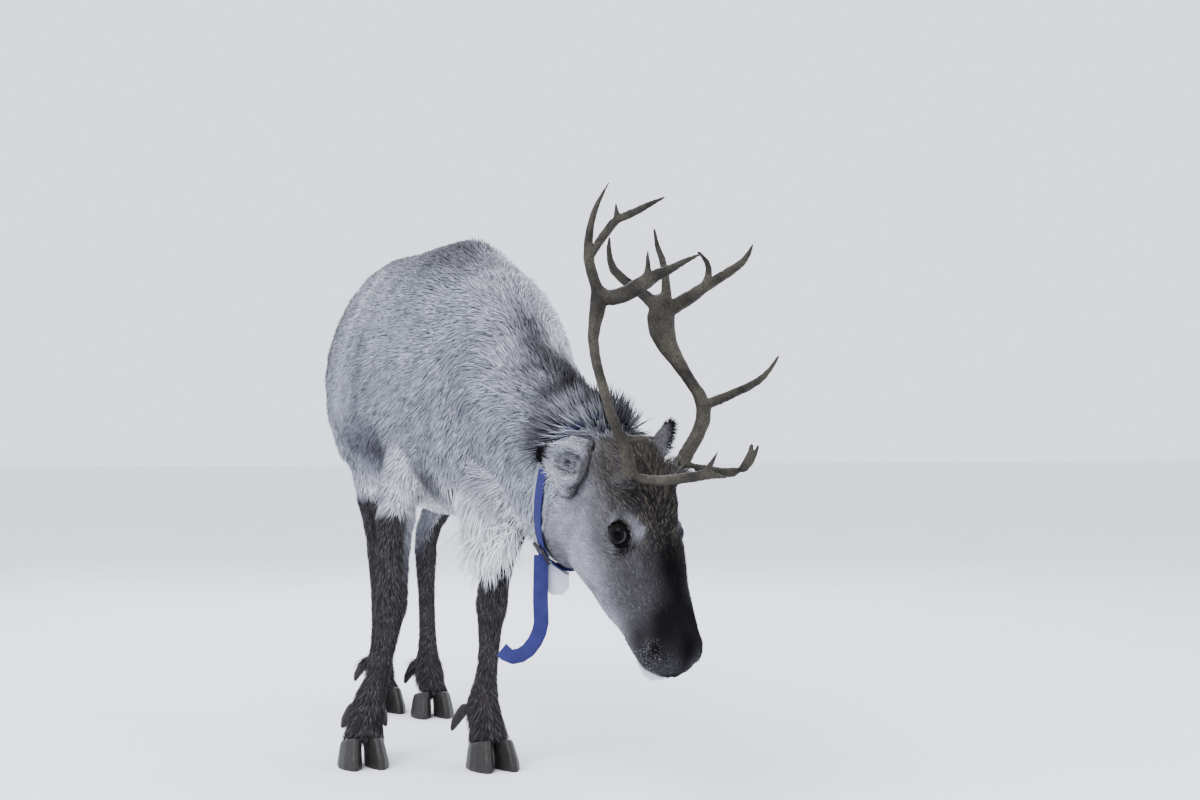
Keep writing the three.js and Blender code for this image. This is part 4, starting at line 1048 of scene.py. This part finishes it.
@dataclass
class Coat:
    """The winter coat that grows on the skin."""

    skin: Skin
    mesh: bpy.types.Mesh
    seed: int = 11

    def size(self, key: str) -> Array:
        """One size of the hair at each vertex of the skin, in metres."""
        return self.skin.shares @ np.array([getattr(region, key) for region in REGIONS.values()]) * MM

    def grow(self) -> tuple[Tufts, Array, Array]:
        """Sets the tufts over the skin.

        Returns:
            The tufts, the region of each and its share in the mane.
        """
        rng = np.random.default_rng(self.seed)
        mesh, skin = self.mesh, self.skin
        points = mesh_points(mesh)
        muzzle_at = skin.shares[:, column("head")] * step(130.0, 50.0, to_head(points)[:, 1])
        spacing = self.size("spacing") * (1 - 0.15 * muzzle_at)
        roots = Roots.scatter(mesh, spacing, rng)
        root, normal = roots.read(points), unit(roots.read(mesh_normals(mesh)))
        lie, shares, muzzle = roots.read(skin.lie), roots.read(skin.shares), roots.read(muzzle_at)
        design, head = to_design(root), to_head(root)
        count = len(root)
        turn = 0.13 * rng.standard_normal(count) + 0.26 * value_noise(design, 60.0, 3)
        turn += 0.15 * value_noise(design, 18.0, 4)
        lie = turned(lie, normal, np.clip(turn, -0.9, 0.9))
        length = roots.read(self.size("length")) * rng.uniform(0.7, 1.2, count) * (1 - 0.55 * muzzle)
        rise = roots.read(self.size("rise")) * rng.uniform(0.5, 1.05, count) * (1 - 0.5 * muzzle)
        width = roots.read(self.size("width")) * rng.uniform(0.7, 1.3, count) * (1 - 0.2 * muzzle)
        rise *= 1 + 0.35 * value_noise(design, 20.0, 5)
        face = shares[:, column("head")]
        crown = face * step(215.0, 270.0, head[:, 1]) * step(-10.0, 40.0, head[:, 2])
        length *= 1 + 1.0 * crown
        rise *= 1 + 0.9 * crown
        nape = near_line(design, (60, -360, 690), (80, -440, 640), 60.0)
        rise *= 1 + 0.5 * nape
        foot = shares[:, column("shank")] * step(200.0, 110.0, design[:, 2])
        claw = step(0.030, 0.010, distances(nodes_tree("dewclaw"), root, 0.04))
        length *= 1 + 0.7 * foot + 1.0 * claw
        rise *= 1 + 0.8 * foot + 1.2 * claw
        mane = mane_share(design)
        strap = distances(skin.strap, root, 0.06)
        reach = length + 0.004
        cover = step(0.045, 0.030, strap) * step(560.0, 600.0, design[:, 2])
        held = step(1.0, 0.55, strap / reach) * (1 - mane) * (1 - cover)
        length = length * (1 - 0.35 * held) * (1 + 0.7 * cover)
        rise = np.where(held > 0, np.minimum(rise, 0.0045), rise) + 0.020 * cover
        colour = coat_colour(root, shares, normal)
        streak = 1 + 0.30 * value_noise(design, (9.0, 22.0, 14.0), 7) + 0.16 * rng.standard_normal(count)
        streak += 0.14 * value_noise(design, 45.0, 9)
        colour = colour * np.clip(streak, 0.35, 1.7)[:, None]
        dark = (rng.random(count) < 0.13) * (1 - face) * (1 - mane)
        colour = colour * (1 - 0.6 * dark)[:, None]
        light = (rng.random(count) < 0.16) * face * step(40.0, 90.0, head[:, 1])
        colour = mix(colour, Tone.CHEEK.value, 0.22 * light * step(60.0, 10.0, head[:, 2]))
        ochre = (rng.random(count) < 0.24) * face * step(130.0, 200.0, head[:, 1])
        ochre = ochre * step(-20, 30, head[:, 2])
        colour = mix(colour, Tone.OCHRE.value, 0.65 * ochre)
        frost = (rng.random(count) < 0.3) * face * step(44.0, 20.0, head[:, 1])
        frost = frost * step(8.0, 16.0, np.abs(head[:, 0]))
        colour = mix(colour, Tone.CHEEK.value, 0.5 * frost * step(30.0, 14.0, head[:, 2]))
        limb = np.clip(shares[:, column("shank")] + shares[:, column("thigh")], 0, 1)
        speck = (rng.random(count) < 0.25) * limb
        colour = mix(colour, Tone.GREY.value, 0.14 * speck)
        tip = rng.uniform(0.85, 1.45, count)
        tufts = Tufts(root, normal, lie, rise, length, width, np.zeros(count), colour, tip,
                      roots.read_map(mesh))
        bare = (strap < 0.0066) & (cover < 0.5)
        for sign in SIGNS.values():
            measure, reach_out = lid_measure(head, sign)
            bare |= (measure < 1.2) & (reach_out < 32)
        keep = ~bare
        return tufts.part(keep), np.argmax(shares, axis=1)[keep], mane[keep]

    def build(self, material: bpy.types.Material) -> None:
        """Makes the coat's pieces, one region after another, and the mane's locks."""
        tufts, region, mane = self.grow()
        rng = np.random.default_rng(self.seed + 1)
        locks = (mane > 0.3) & (rng.random(len(mane)) < 0.55)
        for part, name in enumerate(REGION_NAMES):
            chosen = (region == part) & ~locks
            slot = {"head": "coat_head", "thigh": "coat_leg", "shank": "coat_leg"}.get(name, "coat_body")
            make_pieces(name, tufts.part(chosen), SHORT_RINGS, material, slot)
        long = tufts.part(locks)
        share = mane[locks]
        long.length = (30 + 40 * share) * MM * rng.uniform(0.7, 1.1, len(share))
        long.width = long.width * rng.uniform(1.0, 1.6, len(share))
        long.rise = 10 * MM * rng.uniform(0.3, 1.0, len(share))
        long.droop = 0.45 * rng.uniform(0.6, 1.0, len(share))
        make_pieces("mane", long, LONG_RINGS, material, "coat_body")


def unwrap(obj: bpy.types.Object) -> None:
    """Unwraps a piece by its own shape into a map named OFBake."""
    obj.data.uv_layers.new(name="OFBake")
    bpy.ops.object.select_all(action="DESELECT")
    obj.select_set(True)
    bpy.context.view_layer.objects.active = obj
    bpy.ops.object.mode_set(mode="EDIT")
    bpy.ops.mesh.select_all(action="SELECT")
    bpy.ops.uv.smart_project(angle_limit=math.radians(66.0), island_margin=0.001)
    bpy.ops.object.mode_set(mode="OBJECT")
    obj.select_set(False)


@dataclass(frozen=True)
class EarPose:
    """An ear in the head's frame: its root, its tip and where its hollow faces."""

    base: tuple
    tip: tuple
    opening: tuple


EARS = {
    "right": EarPose((-56, 320, 10), (-128, 362, -12), (-0.45, -0.5, 0.72)),
    "left": EarPose((60, 322, 8), (112, 397, 26), (0.88, -0.45, 0.15)),
}


@dataclass
class Ears:
    """Both ears: thin leaves with a hollow, furred outside and tufted within."""

    voxel: float = 0.0019
    spacing: float = 1.9
    seed: int = 31

    def build(self, hide: bpy.types.Material, hair: bpy.types.Material) -> None:
        """Makes each ear's skin and its tufts."""
        for side, pose in EARS.items():
            mesh = remeshed(merged_copy((f"ear_{side}",)), self.voxel)
            set_points(mesh, averaged(mesh_points(mesh), mesh_edges(mesh), 8, 0.5))
            obj = new_object(f"ear_skin_{side}", mesh)
            unwrap(obj)
            colours, inner, rim = self.colours(mesh, pose)
            # Painted shade: the ear's skin under its tufts is painted at 0.7 of its colours.
            paint(mesh, colours * 0.7)
            finish(obj, hide, "coat_head", f"ear_{side}")
            self.grow(side, mesh, pose, colours, inner, rim, hair)

    def colours(self, mesh: bpy.types.Mesh, pose: EarPose) -> tuple[Array, Array, Array]:
        """Colours of an ear, with painted shade in its opening, and which of it is hollow and which is rim.
        """
        head, normals = to_head(mesh_points(mesh)), mesh_normals(mesh) @ HEAD_AXES
        base, tip = np.array(pose.base, float), np.array(pose.tip, float)
        axis, opening = unit(tip - base), unit(np.array(pose.opening))
        across = np.cross(axis, opening)
        away = head - base
        along = away @ axis / np.linalg.norm(tip - base)
        wide, high = away @ across, away @ opening
        facing = normals @ opening
        inner = step(0.05, 0.35, facing) * step(0.2, 0.3, along) * step(10.0, 4.0, high)
        rim = step(4.0, 10.0, high) * step(0.2, 0.35, along)
        colour = np.tile(np.array(Tone.FACE.value), (len(head), 1))
        colour = mix(colour, Tone.PALE.value, inner * 0.7)
        # Painted shade: the ear's opening is painted black, with no hole in the leaf.
        hole_shade = np.exp(-((along - 0.42) / 0.10) ** 2 - (wide / 9.0) ** 2) * inner
        ring = np.exp(-((np.hypot((along - 0.42) * 80, wide) - 15) / 3.0) ** 2) * inner
        colour = mix(colour, Tone.DARK.value, 0.8 * ring)
        colour = mix(colour, Tone.BLACK.value, hole_shade)
        black = np.maximum(rim * step(0.3, 0.5, along), step(0.8, 0.95, along))
        colour = mix(colour, Tone.BLACK.value, black)
        colour = mix(colour, Tone.BROWN.value, 0.8 * step(0.25, 0.1, along))
        return colour, inner, rim

    def grow(self, side: str, mesh: bpy.types.Mesh, pose: EarPose, colours: Array, inner: Array,
             rim: Array, material: bpy.types.Material) -> None:
        """Grows the tufts of one ear."""
        rng = np.random.default_rng(self.seed + (side == "left"))
        roots = Roots.scatter(mesh, np.full(len(mesh.vertices), self.spacing * MM), rng)
        root, normal = roots.read(mesh_points(mesh)), unit(roots.read(mesh_normals(mesh)))
        count = len(root)
        axis = unit(np.array(pose.tip, float) - np.array(pose.base, float)) @ HEAD_AXES.T
        opening = unit(np.array(pose.opening)) @ HEAD_AXES.T
        inside, edge = roots.read(inner), roots.read(rim)
        guide = np.tile(axis, (count, 1)) + opening * (0.9 * edge + 0.5 * inside)[:, None]
        lie = turned(guide, normal, 0.35 * rng.standard_normal(count))
        length = (8 + 7 * edge + 7 * inside) * MM * rng.uniform(0.7, 1.2, count)
        rise = (2.5 + 4.5 * edge + 3.0 * inside) * MM * rng.uniform(0.5, 1.1, count)
        width = 1.2 * MM * rng.uniform(0.7, 1.3, count)
        # The tufts take the ear's colours, the painted shade of its opening too.
        colour = roots.read(colours) * rng.uniform(0.75, 1.3, count)[:, None]
        tufts = Tufts(root, normal, lie, rise, length, width, np.zeros(count), colour,
                      rng.uniform(0.9, 1.3, count), roots.read_map(mesh))
        make_pieces(f"ear_{side}", tufts, SHORT_RINGS, material, "coat_head")


@dataclass
class Eyes:
    """Two dark, wet eyes with a level pupil."""

    segments: int = 56
    rings: int = 40
    cornea: float = 1.0

    def build(self, material: bpy.types.Material) -> None:
        """Makes both eyes where the solids have them."""
        for side, sign in SIGNS.items():
            work = bmesh.new()
            bmesh.ops.create_uvsphere(work, u_segments=self.segments, v_segments=self.rings, radius=1.0)
            mesh = bpy.data.meshes.new(f"eyeball_{side}")
            work.to_mesh(mesh)
            work.free()
            centre, gaze, along, _ = eye_frame(sign)
            across = np.cross(gaze, along)
            ball = mesh_points(mesh)
            reach = EYE_RADIUS + self.cornea * step(0.72, 1.0, ball[:, 2])
            placed = ball @ np.stack([along, across, gaze]) * reach[:, None]
            set_points(mesh, from_head(centre + placed))
            paint(mesh, self.colours(ball, across[2]))
            finish(new_object(f"eyeball_{side}", mesh), material, "eye", f"eye_{side}")

    def colours(self, ball: Array, upward: float) -> Array:
        """Pupil, iris, a pale lower crescent of painted reflection on its edge, and the dark white of the
        eye.

        Args:
            ball: Points of a ball of radius one, with the gaze along z.
            upward: Sign of the ball's second axis towards the brow.

        Returns:
            A colour for each point.
        """
        ring = np.hypot(ball[:, 0], ball[:, 1])
        pupil = np.hypot(ball[:, 0] / 0.40, ball[:, 1] / 0.26)
        colour = np.tile(np.array((0.0045, 0.0035, 0.0035)), (len(ball), 1))
        colour[pupil < 1] = (0.001, 0.001, 0.0014)
        side = (0.85 * np.sign(upward) * ball[:, 1] - 0.5 * ball[:, 0]) / np.maximum(ring, 1e-6)
        # Painted reflection: a pale crescent near the iris's edge stands for the bright surroundings
        # mirrored in the eye.
        reflection_crescent = np.exp(-((ring - 0.55) / 0.03) ** 2) * step(0.3, 0.9, side)
        colour = mix(colour, (0.10, 0.11, 0.14), reflection_crescent)
        colour[ball[:, 2] < 0] = (0.05, 0.045, 0.045)
        return colour


@dataclass
class Antlers:
    """Both antlers, rounded from their solids, with a rough ring at each burr."""

    voxel: float = 0.0021
    burrs: dict = field(default_factory=lambda: {"right": (71, -633, 546), "left": (165, -607, 565)})

    def build(self, material: bpy.types.Material) -> None:
        """Makes each antler as one piece."""
        for side, burr in self.burrs.items():
            nodes = nodes_called(f"antler_{side}")
            mesh = remeshed(merged_copy(nodes, 0.0006), self.voxel)
            points = averaged(mesh_points(mesh), mesh_edges(mesh), 10, 0.5)
            set_points(mesh, points)
            design = to_design(points)
            away = np.linalg.norm(design - burr, axis=1)
            pearls = step(60.0, 5.0, away)
            swell = 0.5 + 0.6 * value_noise(design * (1, 1, 0.3), 5.0, 21) + 2.2 * step(22.0, 8.0, away)
            swell += 1.6 * pearls * value_noise(design, 4.5, 22)
            set_points(mesh, points + mesh_normals(mesh) * (swell * MM)[:, None])
            paint(mesh, np.outer(0.85 + 0.3 * step(-1, 1, value_noise(design, 60.0, 23)), np.ones(3)))
            finish(new_object(f"antler_{side}", mesh), material, "antler", *nodes)


@dataclass
class Hooves:
    """Hooves and dew claws, rounded from their solids."""

    voxel: float = 0.0022
    root_depth: float = 0.004

    def rooted(self, points: Array, body: BVHTree) -> Array:
        """A dew claw's points, with its root stretched into the skin of the foot."""
        found = [body.find_nearest(Vector(point)) for point in points]
        distance = np.array([hit[3] for hit in found])
        nearest = found[int(distance.argmin())][0]
        start = points[int(distance.argmin())]
        toward = np.array(nearest) - start
        move = toward + unit(toward) * self.root_depth
        share = step(0.020, 0.002, np.linalg.norm(points - start, axis=1))
        return points + share[:, None] * move

    def build(self, material: bpy.types.Material, body: BVHTree) -> None:
        """Makes one piece for each claw, with its sole kept flat."""
        for node in nodes_called("hoof_", "dewclaw_"):
            mesh = remeshed(merged_copy((node,)), self.voxel)
            points = mesh_points(mesh)
            smooth = averaged(points, mesh_edges(mesh), 6, 0.5)
            sole = points[:, 2] < 0.003
            smooth[sole, 2] = np.maximum(points[sole, 2], 0.0)
            if node.startswith("dewclaw_"):
                smooth = self.rooted(smooth, body)
            set_points(mesh, smooth)
            finish(new_object(f"{node}_horn", mesh), material, "hoof", node)


class Collar:
    """Strap, hanging end, buckle and tag."""

    def build(self, webbing: bpy.types.Material, buckle: bpy.types.Material,
              tag: bpy.types.Material) -> None:
        """Makes all the collar's pieces."""
        for node in ("collar_strap", "collar_end", "collar_fold"):
            piece = self.softened(node, 0.0004, 2)
            if node == "collar_end":
                self.join_buckle(piece.data)
            self.map_weave(piece.data)
            finish(piece, webbing, "webbing", node)
        finish(self.softened("collar_buckle", 0.0011, 3), buckle, "buckle", "collar_buckle")
        finish(self.softened("collar_tag", 0.0013, 3), tag, "tag", "collar_tag")

    def softened(self, node: str, width: float, segments: int) -> bpy.types.Object:
        """A copy of a node with its edges rounded.

        Args:
            node: The node to copy.
            width: Width of the bevel.
            segments: Its steps.

        Returns:
            The new piece.
        """
        mesh = merged_copy((node,))
        work = bmesh.new()
        work.from_mesh(mesh)
        sharp = [edge for edge in work.edges if edge.is_manifold and edge.calc_face_angle() > 0.6]
        bmesh.ops.bevel(work, geom=sharp, offset=width, segments=segments, profile=0.5,
                        affect="EDGES", material=-1, clamp_overlap=True)
        bmesh.ops.recalc_face_normals(work, faces=work.faces)
        work.to_mesh(mesh)
        work.free()
        return new_object(f"{node}_made", mesh)

    def join_buckle(self, mesh: bpy.types.Mesh) -> None:
        """Draws the top of the hanging end up to the middle of the buckle."""
        low, high = (np.array(corner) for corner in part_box("collar_buckle"))
        points = mesh_points(mesh)
        top = points[:, 2].max()
        upper = points[points[:, 2] > top - 0.002].mean(axis=0)
        share = step(top - 0.034, top, points[:, 2])
        set_points(mesh, points + share[:, None] * ((low + high) / 2 - upper) * (0.75, 0.75, 0.9))

    def map_weave(self, mesh: bpy.types.Mesh) -> None:
        """Maps the weave along the strap, one unit to about six millimetres."""
        points = mesh_points(mesh)
        loops = np.empty(len(mesh.loops), dtype=np.int32)
        mesh.loops.foreach_get("vertex_index", loops)
        centred = points - points.mean(axis=0)
        axes = np.linalg.svd(centred, full_matrices=False)[2]
        local = centred @ axes.T / MM
        ring = np.ptp(local[:, 1]) > 120
        along = np.arctan2(local[:, 1], local[:, 0]) * 105.0 if ring else local[:, 0]
        across = local[:, 2] if ring else local[:, 1]
        layer = mesh.uv_layers.new(name="weave")
        spots = np.stack([along, across], axis=1)[loops] / 6.0
        layer.data.foreach_set("uv", spots.astype(np.float32).ravel())


@dataclass
class Studio:
    """Pale floor, soft light and the photograph's camera."""

    camera_at: tuple = (-919.6, -3539.0, 620.0)
    camera_yaw: float = 18.0
    lens: float = 60.0
    shift: float = 0.025
    floor_size: float = 30.0

    def build(self) -> None:
        """Sets the floor, the lights, the world and the camera."""
        work = bmesh.new()
        bmesh.ops.create_grid(work, x_segments=1, y_segments=1, size=self.floor_size)
        mesh = bpy.data.meshes.new("floor")
        work.to_mesh(mesh)
        work.free()
        floor = new_object("floor", mesh)
        floor.data.materials.append(Plain("floor", (0.84, 0.85, 0.89), 0.9, 0.02, 3.0).material())
        world = bpy.data.worlds.new("studio")
        world.use_nodes = True
        background = world.node_tree.nodes["Background"]
        background.inputs["Color"].default_value = (0.86, 0.89, 1.0, 1.0)
        background.inputs["Strength"].default_value = 2.0
        bpy.context.scene.world = world
        self.light("key", (-2.6, -2.4, 3.6), 3.0, 300.0)
        self.light("fill", (3.2, -2.2, 2.2), 3.0, 60.0)
        self.light("back", (0.6, 3.4, 3.2), 3.0, 120.0)
        camera = bpy.data.objects.new("camera", bpy.data.cameras.new("camera"))
        bpy.context.scene.collection.objects.link(camera)
        camera.location = Vector(from_design(self.camera_at))
        camera.rotation_euler = (math.radians(90.0), 0.0, -math.radians(self.camera_yaw))
        camera.data.lens = self.lens
        camera.data.shift_y = self.shift
        bpy.context.scene.camera = camera

    def light(self, name: str, at: tuple, size: float, power: float) -> None:
        """Adds a soft square light aimed at the middle of the body."""
        data = bpy.data.lights.new(name, "AREA")
        data.size = size
        data.energy = power
        lamp = bpy.data.objects.new(name, data)
        bpy.context.scene.collection.objects.link(lamp)
        lamp.location = at
        aim = Vector((0.0, -0.1, 0.5)) - Vector(at)
        lamp.rotation_euler = aim.to_track_quat("-Z", "Y").to_euler()


def main() -> None:
    """Builds the reindeer and the studio round it."""
    logging.basicConfig(level=logging.INFO, format="%(message)s")
    Studio().build()
    hair = Hair("coat", 0.25).material()
    hide = Hair("skin", 0.35).material()
    skin = Skin()
    body = skin.build()
    unwrap(body)
    # Painted shade: the skin under the coat is painted at 0.7 of the coat's colours.
    paint(body.data, 0.7 * coat_colour(mesh_points(body.data), skin.shares, mesh_normals(body.data)))
    finish(body, hide, "coat_body", *FLESH)
    Coat(skin, body.data).build(hair)
    Ears().build(hide, hair)
    Eyes().build(WetEye().material())
    Antlers().build(Bone().material())
    Hooves().build(Plain("hoof", (0.016, 0.0145, 0.0135), 0.5, 0.3, 160.0).material(),
                   surface_tree(body.data))
    Collar().build(Webbing().material(),
                   Plain("buckle", (0.012, 0.012, 0.015), 0.35, 0.2, 300.0, 0.0001).material(),
                   Plain("tag", (0.46, 0.48, 0.54), 0.5, 0.12, 60.0).material())


if __name__ == "__main__":
    main()
